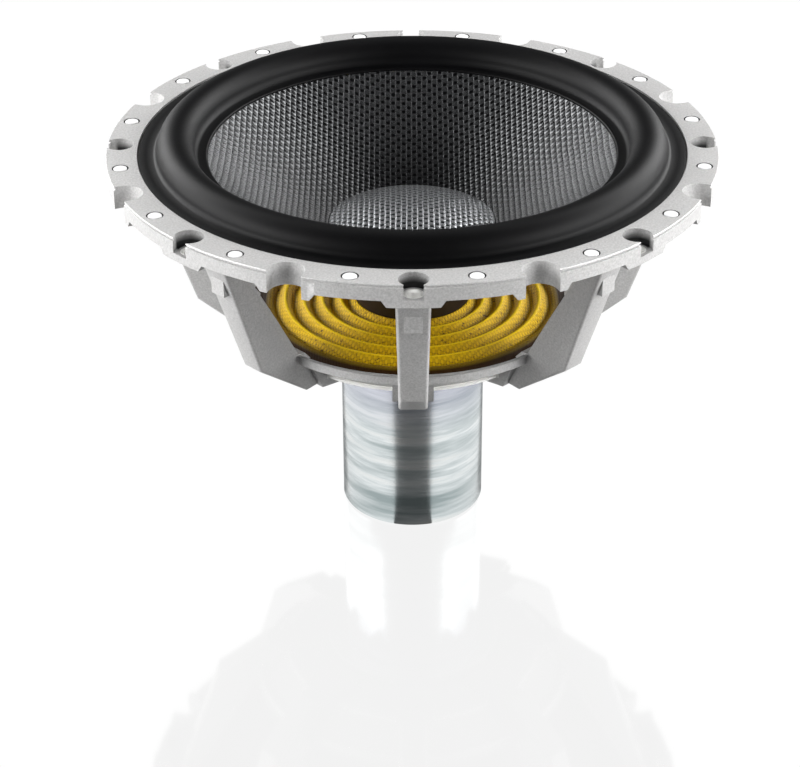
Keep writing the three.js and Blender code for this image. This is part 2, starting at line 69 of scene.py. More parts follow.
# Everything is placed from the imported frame. Outlines are written as (radius, height) in millimetres,
# with heights counted from the flange's top face.
MM = 0.001
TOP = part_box("basket")[1].z
RIM_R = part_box("basket")[1].x / MM
COLUMN_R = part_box("yoke")[1].x / MM
COLUMN_TOP = (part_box("yoke")[1].z - TOP) / MM
BASE = -TOP / MM
SPOKES = 8
PITCH = 2 * math.pi / SPOKES
FRONT = -math.pi / 2
BOLT_R = 100
SEAT_R = 94
BOWL_LIP = (60.7, -57.45)
BOWL_FOOT = (48, -69.2)
BOWL_FLOOR = -71.5
SPIDER_R = 52
SPIDER_Z = -60.6
WAVE_FIRST = 25.4
WAVE_PITCH = 6.6
VALLEY = (29, -30)
CONE_EDGE = (70, -2.4)
ROLL_R = 81
ROLL_RADIUS = 6.5
ROLL_WALL = 0.9
MOUTH_R = 86
SEAT_FLOOR = -1.5
RIM_UNDERSIDE = -5.6
BOSS_UNDERSIDE = -7.9
BOSS_ROOT = -2
BOSS_HALF_WIDTH = 8.4
BOSS_SPLAY = 1.6
BOSS_INNER_R = 92
CUT_TOP = 3
CUT_BOTTOM = -12
CUT_REACH = 4
POCKET_R = 4.9
POCKET_OFFSET = 0.3
POCKET_FLOOR = -5.3
SLOT_HALF_WIDTH = 3.1
SCREW_HOLE_R = 2.3
SINK_TOP_R = 3.1
NOTCH_R = 5.9
NOTCH_CENTRE_R = 102.2
MAGNET_R = 2.3
MAGNET_HOLE_R = 2.85
MAGNET_DEPTH = 3
MAGNET_EDGE = 0.12
BOWL_BORE_R = 22.2
BOWL_FLOOR_TOP = -68.5
BOWL_LIP_WIDTH = 1.2
SPIDER_LEDGE = -61.4
SPOKE_BEVEL = 0.9
LUG_FACE_R = 89.6
LUG_ROOT_R = 85
LUG_TOP = -17.5
LUG_BOTTOM = -25
LUG_HALF_WIDTH = 3
TERMINAL_TURN = FRONT + 3.5 * PITCH
BRACKET_BOTTOM = -63.3
BRACKET_TOP = -60.3
BOARD_BOTTOM = -60
BOARD_TOP = -58
BLADE_FOOT = -57.7
BLADE_HEIGHT = 9
BLADE_THICKNESS = 0.8
BLADE_OFFSET = 7.5
RIVET_R = 66.7
NECK_R = 20.5
CONE_SAG = 1.2
CAP_RISE = 6.0
CAP_WALL = 0.8
# Painted light: the dust cap's copy of the weave is coloured this many times brighter.
CAP_PAINTED_GAIN = 5.4
FORMER_INNER_R = 19.6
FORMER_OUTER_R = 20.2
FORMER_BOTTOM = -86
FORMER_TOP = -36
WINDING_BOTTOM = -84.3
WINDING_TOP = -64.3
WINDING_ROWS = 26
WINDING_CENTRE_R = 20.9
SPIDER_HALF_WALL = 0.35
SPIDER_FLEX_R = 22
GAP_OUTER_R = 21.9
COLUMN_BORE_R = 22.3
COLUMN_FLOOR = 10
PILLAR_R = 18
MOTOR_SCREWS = 4
STEEP = math.radians(60)

# Finishes of the plain metal pieces: colour and roughness.
METALS = {
    "Machined steel": ((0.55, 0.57, 0.58), 0.3),
    "Enamelled copper": ((0.6, 0.24, 0.09), 0.3),
    "Bare copper": ((0.75, 0.36, 0.2), 0.35),
    "Zinc plate": ((0.66, 0.66, 0.64), 0.35),
    "Gold plate": ((0.85, 0.6, 0.25), 0.25),
}
# Near black: the nylon's own colour, and the painted shade in the casting's screw pockets and round its
# magnets.
NEAR_BLACK = (0.012, 0.012, 0.013, 1)

# Stage, in metres and watts. Each lamp of SIDE_LAMPS stands once on either side.
CAMERA_PLACE = (-0.0028, -0.7229, TOP + 0.3261)
SENSOR_WIDTH = 36
FLOOR_HALF = 6
SKY_HEIGHT = 0.7
SKY_WIDTH = 60
SKY_POWER = 46000
AMBIENT = 0.012
SIDE_LAMPS = (
    ("side", (0.95, 0.05, 0.42), (0.9, 0.7), 12),
    ("rim", (0.8, 0.85, 0.6), (0.6, 0.8), 13),
    ("fill", (0.85, -0.5, 0.45), (0.4, 0.4), 5),
)
METAL_LAMP = ((0, -0.75, 1.05), (1.2, 0.3), 5.8)
LOW_METAL_LAMP = ((0.8, -0.45, 0.12), (0.4, 0.3), 2.6)

# Dark shapes that the metal sees in the floor. The front one is a wedge whose tip lies behind the axis.
WEDGE_TIP = 13.3
WEDGE_SIDE = (31.5, 32.5)
REAR_SIDE = (27.2, 28.4)
REAR_SPREAD = 0.487
REAR_TONE = 0.3


class BasketSettings(bpy.types.PropertyGroup):
    """Sizes and colour of the cast basket"""

    edge: bpy.props.FloatProperty(
        name="Edge radius", description="Rounding of the casting's edges", default=0.3 * MM, unit="LENGTH"
    )
    colour: bpy.props.FloatVectorProperty(
        name="Metal colour", description="Cast aluminium", default=(0.60, 0.595, 0.59), subtype="COLOR"
    )


class ConeSettings(bpy.types.PropertyGroup):
    """The woven cone and dust cap"""

    across: bpy.props.FloatProperty(
        name="Thread pitch across",
        description="Distance between warp threads",
        default=1.9 * MM,
        unit="LENGTH",
    )
    along: bpy.props.FloatProperty(
        name="Thread pitch along",
        description="Distance between weft threads",
        default=1.42 * MM,
        unit="LENGTH",
    )
    # Painted light and shade: the weave's two colours stand for threads that catch the light and threads in
    # shade.
    light: bpy.props.FloatVectorProperty(
        name="Lit thread colour",
        description="Threads that catch the light",
        default=(0.085, 0.087, 0.09),
        subtype="COLOR",
    )
    dark: bpy.props.FloatVectorProperty(
        name="Shaded thread colour", description="Threads in shade", default=(0.006, 0.006, 0.007), subtype="COLOR"
    )


class SuspensionSettings(bpy.types.PropertyGroup):
    """The rubber surround and the aramid spider"""

    rubber: bpy.props.FloatVectorProperty(
        name="Rubber colour",
        description="Matt black rubber",
        default=(0.0015, 0.0015, 0.0018),
        subtype="COLOR",
    )
    aramid: bpy.props.FloatVectorProperty(
        name="Aramid colour",
        description="Golden yellow cloth",
        default=(0.50, 0.305, 0.001),
        subtype="COLOR",
    )
    wave: bpy.props.FloatProperty(
        name="Corrugation height",
        description="Half height of the spider's waves",
        default=1.3 * MM,
        unit="LENGTH",
    )


class MotorSettings(bpy.types.PropertyGroup):
    """The turned motor column"""

    colour: bpy.props.FloatVectorProperty(
        name="Metal colour", description="Plated steel", default=(0.80, 0.85, 0.86), subtype="COLOR"
    )
    groove: bpy.props.FloatProperty(
        name="Lathe mark spacing",
        description="Height between turning marks",
        default=0.35 * MM,
        unit="LENGTH",
    )


class StageSettings(bpy.types.PropertyGroup):
    """Camera, floor and lights"""

    lens: bpy.props.FloatProperty(
        name="Focal length", description="Camera lens", default=103.5, subtype="DISTANCE_CAMERA"
    )
    pitch: bpy.props.FloatProperty(
        name="Camera tilt",
        description="How far the camera looks down",
        default=math.radians(30.247),
        subtype="ANGLE",
    )
    roll: bpy.props.FloatProperty(
        name="Camera roll",
        description="Sideways lean of the camera",
        default=math.radians(0.234),
        subtype="ANGLE",
    )


# Meshes


def finished(bm, name, material, body, replaced=(), angle=math.radians(30)):
    """Turns a bmesh into a named piece that rides on a body and stands for its CAD nodes."""
    mesh = bpy.data.meshes.new(name)
    bm.to_mesh(mesh)
    bm.free()
    mesh.materials.clear()
    mesh.materials.append(material)
    mesh.shade_smooth()
    mesh.set_sharp_from_angle(angle=angle)
    piece = bpy.data.objects.new(name, mesh)
    bpy.context.scene.collection.objects.link(piece)
    if body:
        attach(piece, body)
    if replaced:
        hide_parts(*replaced)
    return piece


def rounded(piece, width, segments=2, angle=30):
    """A live bevel on the piece's edges."""
    bevel = piece.modifiers.new("Rounded edges", "BEVEL")
    bevel.width = width
    bevel.segments = segments
    bevel.limit_method = "ANGLE"
    bevel.angle_limit = math.radians(angle)
    bevel.harden_normals = True
    return piece


def at(r, z, y=0.0):
    """A point on the section plane, from millimetres."""
    return Vector((r * MM, y * MM, TOP + z * MM))


def turned(outline, steps=192, closed=True):
    """A ring turned about the axis from its outline; an open outline starts and ends on the axis."""
    bm = bmesh.new()
    verts = [bm.verts.new(at(r, z)) for r, z in outline]
    pairs = list(zip(verts, verts[1:]))
    if closed:
        pairs.append((verts[-1], verts[0]))
    edges = [bm.edges.new(pair) for pair in pairs]
    bmesh.ops.spin(
        bm, geom=verts + edges, cent=(0, 0, 0), axis=(0, 0, 1), angle=2 * math.pi, steps=steps, use_merge=True
    )
    bmesh.ops.remove_doubles(bm, verts=bm.verts, dist=1e-7)
    bmesh.ops.recalc_face_normals(bm, faces=bm.faces)
    return bm


def plate(outline, half_width):
    """An upright plate from its side outline, half_width(r, z) thick to each side."""
    bm = bmesh.new()
    face = bm.faces.new([bm.verts.new(at(r, z, -1)) for r, z in outline])
    made = bmesh.ops.extrude_face_region(bm, geom=[face])["geom"]
    far = [v for v in made if isinstance(v, bmesh.types.BMVert)]
    bmesh.ops.translate(bm, verts=far, vec=(0, 2 * MM, 0))
    for v in bm.verts:
        v.co.y = math.copysign(half_width(v.co.x / MM, (v.co.z - TOP) / MM) * MM, v.co.y)
    bmesh.ops.recalc_face_normals(bm, faces=bm.faces)
    return bm


def prism(outline, low, high):
    """A prism standing along the axis from its plan outline in millimetres."""
    bm = bmesh.new()
    face = bm.faces.new([bm.verts.new((x * MM, y * MM, TOP + low * MM)) for x, y in outline])
    made = bmesh.ops.extrude_face_region(bm, geom=[face])["geom"]
    far = [v for v in made if isinstance(v, bmesh.types.BMVert)]
    bmesh.ops.translate(bm, verts=far, vec=(0, 0, (high - low) * MM))
    bmesh.ops.recalc_face_normals(bm, faces=bm.faces)
    return bm


def drum(radius, low, high, x=0.0, top_radius=None, segments=48):
    """A straight or tapered drum standing at x on the section plane."""
    bm = bmesh.new()
    bmesh.ops.create_cone(
        bm, cap_ends=True, segments=segments, radius1=radius * MM,
        radius2=(top_radius or radius) * MM, depth=(high - low) * MM,
        matrix=Matrix.Translation(at(x, (low + high) / 2)),
    )
    return bm


def arc(centre, radius, start, end, steps):
    """Points of a round stretch of an outline, with angles in degrees."""
    points = []
    for i in range(steps + 1):
        a = math.radians(start + (end - start) * i / steps)
        points.append((centre[0] + radius * math.cos(a), centre[1] + radius * math.sin(a)))
    return points


def swung(bm, angle):
    """The same bmesh, turned about the driver's axis."""
    bmesh.ops.rotate(bm, verts=bm.verts, cent=(0, 0, 0), matrix=Matrix.Rotation(angle, 3, "Z"))
    return bm


def mix(a, b, t):
    """The value a share t of the way from a to b, with t held between 0 and 1."""
    return a + (b - a) * min(max(t, 0.0), 1.0)


def ease(t):
    """A share that leaves 0 and reaches 1 smoothly."""
    t = min(max(t, 0.0), 1.0)
    return t * t * (3 - 2 * t)


def ringed(bm, angles):
    """The same shape at each angle round the axis, in one bmesh."""
    template = bpy.data.meshes.new("template")
    bm.to_mesh(template)
    bm.free()
    whole = bmesh.new()
    for angle in angles:
        before = len(whole.verts)
        whole.from_mesh(template)
        whole.verts.ensure_lookup_table()
        turn = Matrix.Rotation(angle, 3, "Z")
        bmesh.ops.rotate(whole, verts=whole.verts[before:], cent=(0, 0, 0), matrix=turn)
    bpy.data.meshes.remove(template)
    return whole


def gathered(parts):
    """Several bmeshes in one mesh."""
    whole = bmesh.new()
    for part in parts:
        mesh = bpy.data.meshes.new("part")
        part.to_mesh(mesh)
        part.free()
        whole.from_mesh(mesh)
        bpy.data.meshes.remove(mesh)
    return whole


def carved(base, steps):
    """The base bmesh after a row of (operation, bmesh) boolean steps, as a mesh."""
    helpers = []
    mesh = bpy.data.meshes.new("carving")
    base.to_mesh(mesh)
    base.free()
    block = bpy.data.objects.new("carving", mesh)
    bpy.context.scene.collection.objects.link(block)
    for operation, shape in steps:
        tool_mesh = bpy.data.meshes.new("tool")
        shape.to_mesh(tool_mesh)
        shape.free()
        tool = bpy.data.objects.new("tool", tool_mesh)
        bpy.context.scene.collection.objects.link(tool)
        helpers.append(tool)
        boolean = block.modifiers.new(operation, "BOOLEAN")
        boolean.operation = operation
        boolean.solver = "EXACT"
        boolean.use_self = operation == "UNION"
        boolean.object = tool
    graph = bpy.context.evaluated_depsgraph_get()
    result = bpy.data.meshes.new_from_object(block.evaluated_get(graph))
    for helper in helpers + [block]:
        data = helper.data
        bpy.data.objects.remove(helper)
        bpy.data.meshes.remove(data)
    return result


def spoke_angles(offset=0.0):
    """Angles of the spokes, or of places a share of the pitch beyond them."""
    return [FRONT + (k + offset) * PITCH for k in range(SPOKES)]


# Shader node groups


def group_tree(name, inputs, outputs):
    tree = bpy.data.node_groups.new(name, "ShaderNodeTree")
    for label, kind, default in inputs:
        item = tree.interface.new_socket(name=label, in_out="INPUT", socket_type=kind)
        if default is not None:
            item.default_value = default
    for label, kind in outputs:
        tree.interface.new_socket(name=label, in_out="OUTPUT", socket_type=kind)
    return tree, tree.nodes.new("NodeGroupInput"), tree.nodes.new("NodeGroupOutput")


def add(tree, kind, values=None, **settings):
    """A node with its settings and its input values or links."""
    node = tree.nodes.new(kind)
    for key, value in settings.items():
        setattr(node, key, value)
    for key, value in (values or {}).items():
        if isinstance(value, bpy.types.NodeSocket):
            tree.links.new(value, node.inputs[key])
        else:
            node.inputs[key].default_value = value
    return node


def maths(tree, operation, a, b=0.0):
    return add(tree, "ShaderNodeMath", {0: a, 1: b}, operation=operation).outputs[0]


def times(tree, *values):
    """The product of several values."""
    product = values[0]
    for value in values[1:]:
        product = maths(tree, "MULTIPLY", product, value)
    return product


def hypotenuse(tree, a, b):
    """The distance covered by a step a one way and b across it."""
    return maths(tree, "SQRT", maths(tree, "ADD", times(tree, a, a), times(tree, b, b)))


def from_axis(tree, place):
    """Distance from the driver's axis."""
    flat = add(tree, "ShaderNodeVectorMath", {0: place, 1: (1, 1, 0)}, operation="MULTIPLY").outputs[0]
    return add(tree, "ShaderNodeVectorMath", {0: flat}, operation="LENGTH").outputs["Value"]


def opaque(colour, share=1.0):
    """A colour with full alpha, made lighter or darker by the share."""
    return tuple(c * share for c in tuple(colour)[:3]) + (1,)


def blend_colour(tree, factor, a, b):
    return add(tree, "ShaderNodeMix", {0: factor, 6: a, 7: b}, data_type="RGBA").outputs[2]


def ramp(tree, value, low, high, out_low=0.0, out_high=1.0):
    """The value carried from one range to another, and held at its ends."""
    node = add(tree, "ShaderNodeMapRange", {0: value, 1: low, 2: high, 3: out_low, 4: out_high})
    return node.outputs[0]


def noise(tree, vector, scale, detail, roughness):
    values = {"Vector": vector, "Scale": scale, "Detail": detail, "Roughness": roughness}
    return add(tree, "ShaderNodeTexNoise", values).outputs["Fac"]


def weave_group():
    """Plain weave in plan: which thread is on top, and how high it stands."""
    tree, inp, out = group_tree(
        "Plain weave",
        [("Vector", "NodeSocketVector", None), ("Across", "NodeSocketFloat", 0.0019),
         ("Along", "NodeSocketFloat", 0.0014), ("Waviness", "NodeSocketFloat", 0.1)],
        [("Height", "NodeSocketFloat"), ("Warp", "NodeSocketFloat")],
    )
    wobble = add(tree, "ShaderNodeTexNoise", {"Vector": inp.outputs["Vector"], "Scale": 90.0, "Detail": 2.0})
    halves = {0: wobble.outputs["Color"], 1: (0.5, 0.5, 0.5)}
    centred = add(tree, "ShaderNodeVectorMath", halves, operation="SUBTRACT")
    parts = add(tree, "ShaderNodeSeparateXYZ", {0: inp.outputs["Vector"]})
    shifts = add(tree, "ShaderNodeSeparateXYZ", {0: centred.outputs[0]})
    cells = []
    for axis, pitch in ((0, "Across"), (1, "Along")):
        steps = maths(tree, "DIVIDE", parts.outputs[axis], inp.outputs[pitch])
        shift = times(tree, shifts.outputs[axis], inp.outputs["Waviness"])
        cells.append(maths(tree, "ADD", steps, shift))
    whole = [maths(tree, "FLOOR", cell) for cell in cells]
    offsets = [maths(tree, "SUBTRACT", maths(tree, "FRACT", cell), 0.5) for cell in cells]
    sides = [times(tree, offset, 2.0) for offset in offsets]
    domes = [maths(tree, "SUBTRACT", 1.0, times(tree, side, side)) for side in sides]
    parity = maths(tree, "FLOORED_MODULO", maths(tree, "ADD", whole[0], whole[1]), 2.0)
    heights = []
    for over, across in ((0, 1), (1, 0)):
        body = maths(tree, "SQRT", maths(tree, "MAXIMUM", domes[across], 0.0))
        arch = maths(tree, "MULTIPLY_ADD", domes[over], 0.65)
        arch.node.inputs[2].default_value = 0.35
        heights.append(times(tree, body, arch))
    height = add(tree, "ShaderNodeMix", {0: parity, 2: heights[0], 3: heights[1]}, data_type="FLOAT")
    tree.links.new(height.outputs[0], out.inputs["Height"])
    tree.links.new(parity, out.inputs["Warp"])
    return tree


def grain_group():
    """Fine cast or moulded grain over broad cloudiness."""
    tree, inp, out = group_tree(
        "Grain",
        [("Vector", "NodeSocketVector", None), ("Size", "NodeSocketFloat", 900.0)],
        [("Fine", "NodeSocketFloat"), ("Cloud", "NodeSocketFloat")],
    )
    fine = noise(tree, inp.outputs["Vector"], inp.outputs["Size"], 4.0, 0.65)
    cloud = noise(tree, inp.outputs["Vector"], 38.0, 3.0, 0.55)
    tree.links.new(fine, out.inputs["Fine"])
    tree.links.new(cloud, out.inputs["Cloud"])
    return tree


def lathe_group():
    """Turning marks: fine rings stacked along the axis, broken up a little round it."""
    tree, inp, out = group_tree(
        "Lathe marks",
        [("Vector", "NodeSocketVector", None), ("Spacing", "NodeSocketFloat", 0.0004)],
        [("Marks", "NodeSocketFloat"), ("Bands", "NodeSocketFloat"), ("Streaks", "NodeSocketFloat")],
    )
    parts = add(tree, "ShaderNodeSeparateXYZ", {0: inp.outputs["Vector"]})
    steps = maths(tree, "DIVIDE", parts.outputs[2], inp.outputs["Spacing"])
    fine = add(tree, "ShaderNodeTexNoise", {"W": steps, "Scale": 1.0, "Detail": 3.0}, noise_dimensions="1D")
    values = {"W": parts.outputs[2], "Scale": 160.0, "Detail": 3.0}
    broad = add(tree, "ShaderNodeTexNoise", values, noise_dimensions="1D")
    values = {"Vector": inp.outputs["Vector"], "Scale": (14.0, 14.0, 130.0)}
    flattened = add(tree, "ShaderNodeMapping", values).outputs[0]
    streaks = noise(tree, flattened, 1.0, 4.0, 0.6)
    tree.links.new(fine.outputs["Fac"], out.inputs["Marks"])
    tree.links.new(broad.outputs["Fac"], out.inputs["Bands"])
    tree.links.new(streaks, out.inputs["Streaks"])
    return tree


def recess_group():
    """Masks of the casting: painted shade deep in the screw pockets and in the gaps round the magnets, and a
    near-white painted highlight on the lip under the bowl and in the screw seats.
    """
    tree, inp, out = group_tree(
        "Recess shade",
        [("Vector", "NodeSocketVector", None)],
        [("Shade", "NodeSocketFloat"), ("Machined", "NodeSocketFloat")],
    )
    parts = add(tree, "ShaderNodeSeparateXYZ", {0: inp.outputs["Vector"]})
    x, y, z = parts.outputs
    radius = hypotenuse(tree, x, y)
    turn = maths(tree, "ARCTAN2", y, x)
    outward = maths(tree, "SUBTRACT", radius, BOLT_R * MM)
    to_spoke = maths(tree, "PINGPONG", turn, PITCH / 2)
    to_magnet = maths(tree, "PINGPONG", maths(tree, "ADD", turn, PITCH / 4), PITCH / 4)
    from_screw = hypotenuse(tree, times(tree, radius, to_spoke), outward)
    from_magnet = hypotenuse(tree, times(tree, radius, to_magnet), outward)

    def fade(value, start, full):
        """A mask that comes in over a span given in millimetres."""
        return ramp(tree, value, start * MM, full * MM)

    def depth(start, full):
        """A mask that comes in between two depths under the flange's top face."""
        return ramp(tree, z, TOP - start * MM, TOP - full * MM)

    # Painted shade: the lower walls of the screw pockets and the gaps round the magnets are darkened in
    # colour.
    wall = times(tree, fade(from_screw, 5.6, 5.3), fade(from_screw, 3.9, 4.3))
    deepening = ramp(tree, z, TOP - 1.2 * MM, TOP - 3.6 * MM, 0.3, 1.0)
    inner_wall = times(tree, depth(0.05, 0.25), fade(outward, 2.6, 1.6))
    pocket = times(tree, times(tree, wall, deepening), inner_wall)
    magnet_gap_shade = times(tree, fade(from_magnet, 3.3, 3.15), depth(0.05, 0.2))
    shade = maths(tree, "MAXIMUM", pocket, magnet_gap_shade)
    # Painted highlight: the screw seats and the lip under the bowl are coloured near white.
    seat = times(tree, fade(from_screw, 3.4, 3.2), depth(5.1, 5.25))
    band = times(tree, depth(70.5, 70.3), depth(68.8, 69.0))
    outside = times(tree, fade(radius, 47, 47.2), fade(radius, 49.2, 49.0))
    machined = maths(tree, "MAXIMUM", times(tree, band, outside), seat)
    tree.links.new(shade, out.inputs["Shade"])
    tree.links.new(machined, out.inputs["Machined"])
    return tree


GROUP_MAKERS = {
    "Plain weave": weave_group,
    "Grain": grain_group,
    "Lathe marks": lathe_group,
    "Recess shade": recess_group,
}


def use_group(tree, name, values):
    made = bpy.data.node_groups.get(name) or GROUP_MAKERS[name]()
    node = tree.nodes.new("ShaderNodeGroup")
    node.node_tree = made
    for key, value in values.items():
        if isinstance(value, bpy.types.NodeSocket):
            tree.links.new(value, node.inputs[key])
        else:
            node.inputs[key].default_value = value
    return node


def new_material(name, **fixed):
    """A material with its Principled BSDF, whose constant values are set on the shader's own sockets."""
    material = bpy.data.materials.new(name)
    material.use_nodes = True
    tree = material.node_tree
    shader = tree.nodes["Principled BSDF"]
    for key, value in fixed.items():
        shader.inputs[key.replace("_", " ")].default_value = value
    place = tree.nodes.new("ShaderNodeTexCoord").outputs["Object"]
    return material, tree, shader, place


def bump(tree, shader, height, strength, distance):
    node = add(tree, "ShaderNodeBump", {"Height": height, "Strength": strength, "Distance": distance})
    tree.links.new(node.outputs[0], shader.inputs["Normal"])


def roughen(tree, shader, pattern, smooth, rough, span=(0.2, 0.8)):
    """Roughness that follows a pattern."""
    tree.links.new(ramp(tree, pattern, *span, smooth, rough), shader.inputs["Roughness"])


def kept(name, maker, *args):
    """The material of that name, made the first time it is asked for."""
    return bpy.data.materials.get(name) or maker(*args)


def cast_aluminium():
    material, tree, shader, place = new_material("Cast aluminium", Metallic=0.3)
    grain = use_group(tree, "Grain", {"Vector": place, "Size": 1500.0})
    recess = use_group(tree, "Recess shade", {"Vector": place})
    colour = bpy.context.scene.basket_settings.colour
    deep = opaque(colour, 0.62)
    mottled = blend_colour(tree, ramp(tree, grain.outputs["Fine"], 0.3, 0.7), deep, opaque(colour))
    clouded = blend_colour(tree, ramp(tree, grain.outputs["Cloud"], 0.35, 0.65, 0.0, 0.25), mottled, deep)
    # Painted highlight near white on the bowl's lip and the screw seats, then painted shade in the pockets
    # and round the magnets.
    machined = blend_colour(tree, recess.outputs["Machined"], clouded, (1, 1, 0.97, 1))
    shaded = blend_colour(tree, recess.outputs["Shade"], machined, NEAR_BLACK)
    tree.links.new(shaded, shader.inputs["Base Color"])
    roughen(tree, shader, grain.outputs["Fine"], 0.42, 0.62)
    bump(tree, shader, grain.outputs["Fine"], 0.25, 0.00012)
    return material


def nickel_plate():
    material, tree, shader, place = new_material("Nickel plate", Metallic=0.1)
    grain = use_group(tree, "Grain", {"Vector": place, "Size": 2600.0})
    worn = ramp(tree, grain.outputs["Fine"], 0.3, 0.7)
    colour = blend_colour(tree, worn, (0.9, 0.9, 0.9, 1), (1.0, 1.0, 1.0, 1))
    tree.links.new(colour, shader.inputs["Base Color"])
    roughen(tree, shader, grain.outputs["Fine"], 0.3, 0.5)
    return material


def black_rubber():
    material, tree, shader, place = new_material("Black rubber")
    shader.inputs["Specular IOR Level"].default_value = 0.13
    grain = use_group(tree, "Grain", {"Vector": place, "Size": 1400.0})
    rubber = bpy.context.scene.suspension_settings.rubber
    dust = ramp(tree, grain.outputs["Cloud"], 0.35, 0.7, 0.0, 0.6)
    colour = blend_colour(tree, dust, opaque(rubber), opaque(rubber, 2.4))
    tree.links.new(colour, shader.inputs["Base Color"])
    roughen(tree, shader, grain.outputs["Fine"], 0.46, 0.56)
    bump(tree, shader, grain.outputs["Fine"], 0.12, 0.0001)
    return material


def woven_fibre(name, painted_gain):
    """The cone's weave, with painted light: a lit lattice round shaded threads, painted brighter or duller by
    the share given for each copy.
    """
    settings = bpy.context.scene.cone_settings
    material, tree, shader, place = new_material(name, Metallic=0.7)
    weave = use_group(
        tree, "Plain weave",
        {"Vector": place, "Across": settings.across, "Along": settings.along, "Waviness": 0.25},
    )
    grain = use_group(tree, "Grain", {"Vector": place, "Size": 2200.0})
    light = opaque(settings.light, painted_gain)
    dark = opaque(settings.dark, painted_gain)
    # Painted shade: dark spots on the crowns of the warp threads.
    crown = ramp(tree, weave.outputs["Height"], 0.45, 0.8)
    painted_dark_spots = times(tree, weave.outputs["Warp"], crown)
    # Painted shade: the lattice darkens towards the valley where cone and cap meet.
    radius = from_axis(tree, place)
    outward = ramp(tree, radius, VALLEY[0] * MM, (VALLEY[0] + 22) * MM)
    cap = ramp(tree, radius, (VALLEY[0] + 0.4) * MM, (VALLEY[0] - 0.4) * MM)
    shade_towards_valley = maths(tree, "MAXIMUM", outward, cap)
    shaded = blend_colour(tree, ramp(tree, shade_towards_valley, 0.0, 1.0, 0.55, 0.0), light, dark)
    tree.links.new(blend_colour(tree, painted_dark_spots, shaded, dark), shader.inputs["Base Color"])
    roughen(tree, shader, grain.outputs["Fine"], 0.22, 0.34)
    bump(tree, shader, weave.outputs["Height"], 1.0, 0.00024)
    return material


def yellow_aramid():
    """Open golden cloth, with a painted highlight on the waves' crests, dark in its gaps, and darkened at its
    outer edge by glue and by painted shade.
    """
    material, tree, shader, place = new_material("Yellow aramid", Roughness=0.5)
    shader.inputs["Specular IOR Level"].default_value = 0.12
    cloth = {"Vector": place, "Across": 0.00095, "Along": 0.00095, "Waviness": 0.5}
    weave = use_group(tree, "Plain weave", cloth)
    grain = use_group(tree, "Grain", {"Vector": place, "Size": 700.0})
    base = opaque(bpy.context.scene.suspension_settings.aramid)
    pale = (base[0] * 1.3, base[1] * 1.34, base[2] * 1.5, 1)
    brown = (0.07, 0.032, 0.004, 1)
    threads = blend_colour(tree, weave.outputs["Warp"], base, pale)
    radius = from_axis(tree, place)
    past_crest = maths(tree, "SUBTRACT", radius, WAVE_FIRST * MM)
    wave = maths(tree, "COSINE", times(tree, past_crest, 2 * math.pi / (WAVE_PITCH * MM)))
    gaps = ramp(tree, weave.outputs["Height"], 0.15, 0.5)
    closed = maths(tree, "MAXIMUM", gaps, ramp(tree, wave, -0.6, 0.5, 0.1, 1.0))
    open_weave = blend_colour(tree, closed, brown, threads)
    specks = ramp(tree, grain.outputs["Fine"], 0.33, 0.4)
    worn = blend_colour(tree, specks, brown, open_weave)
    # Painted highlight along the crests of the waves.
    lit = blend_colour(tree, ramp(tree, wave, 0.8, 1.0, 0.0, 0.75), worn, (0.95, 0.66, 0.008, 1))
    # The outer edge darkens, partly dark glue and partly painted shade under the bowl's lip.
    rim = ramp(tree, radius, (SPIDER_R - 5) * MM, (SPIDER_R + 0.2) * MM)
    glue_and_shade_edged = blend_colour(tree, rim, lit, (0.035, 0.014, 0.002, 1))
    tree.links.new(glue_and_shade_edged, shader.inputs["Base Color"])
    bump(tree, shader, weave.outputs["Height"], 0.6, 0.0002)
    return material


def former_tube():
    material, tree, shader, place = new_material("Dark former", Roughness=0.35)
    cloth = {"Vector": place, "Across": 0.0006, "Along": 0.0006, "Waviness": 0.3}
    weave = use_group(tree, "Plain weave", cloth)
    grain = use_group(tree, "Grain", {"Vector": place, "Size": 1800.0})
    stain = ramp(tree, grain.outputs["Cloud"], 0.35, 0.65)
    colour = blend_colour(tree, stain, (0.004, 0.003, 0.003, 1), (0.02, 0.011, 0.007, 1))
    tree.links.new(colour, shader.inputs["Base Color"])
    bump(tree, shader, weave.outputs["Height"], 0.1, 0.0001)
    return material


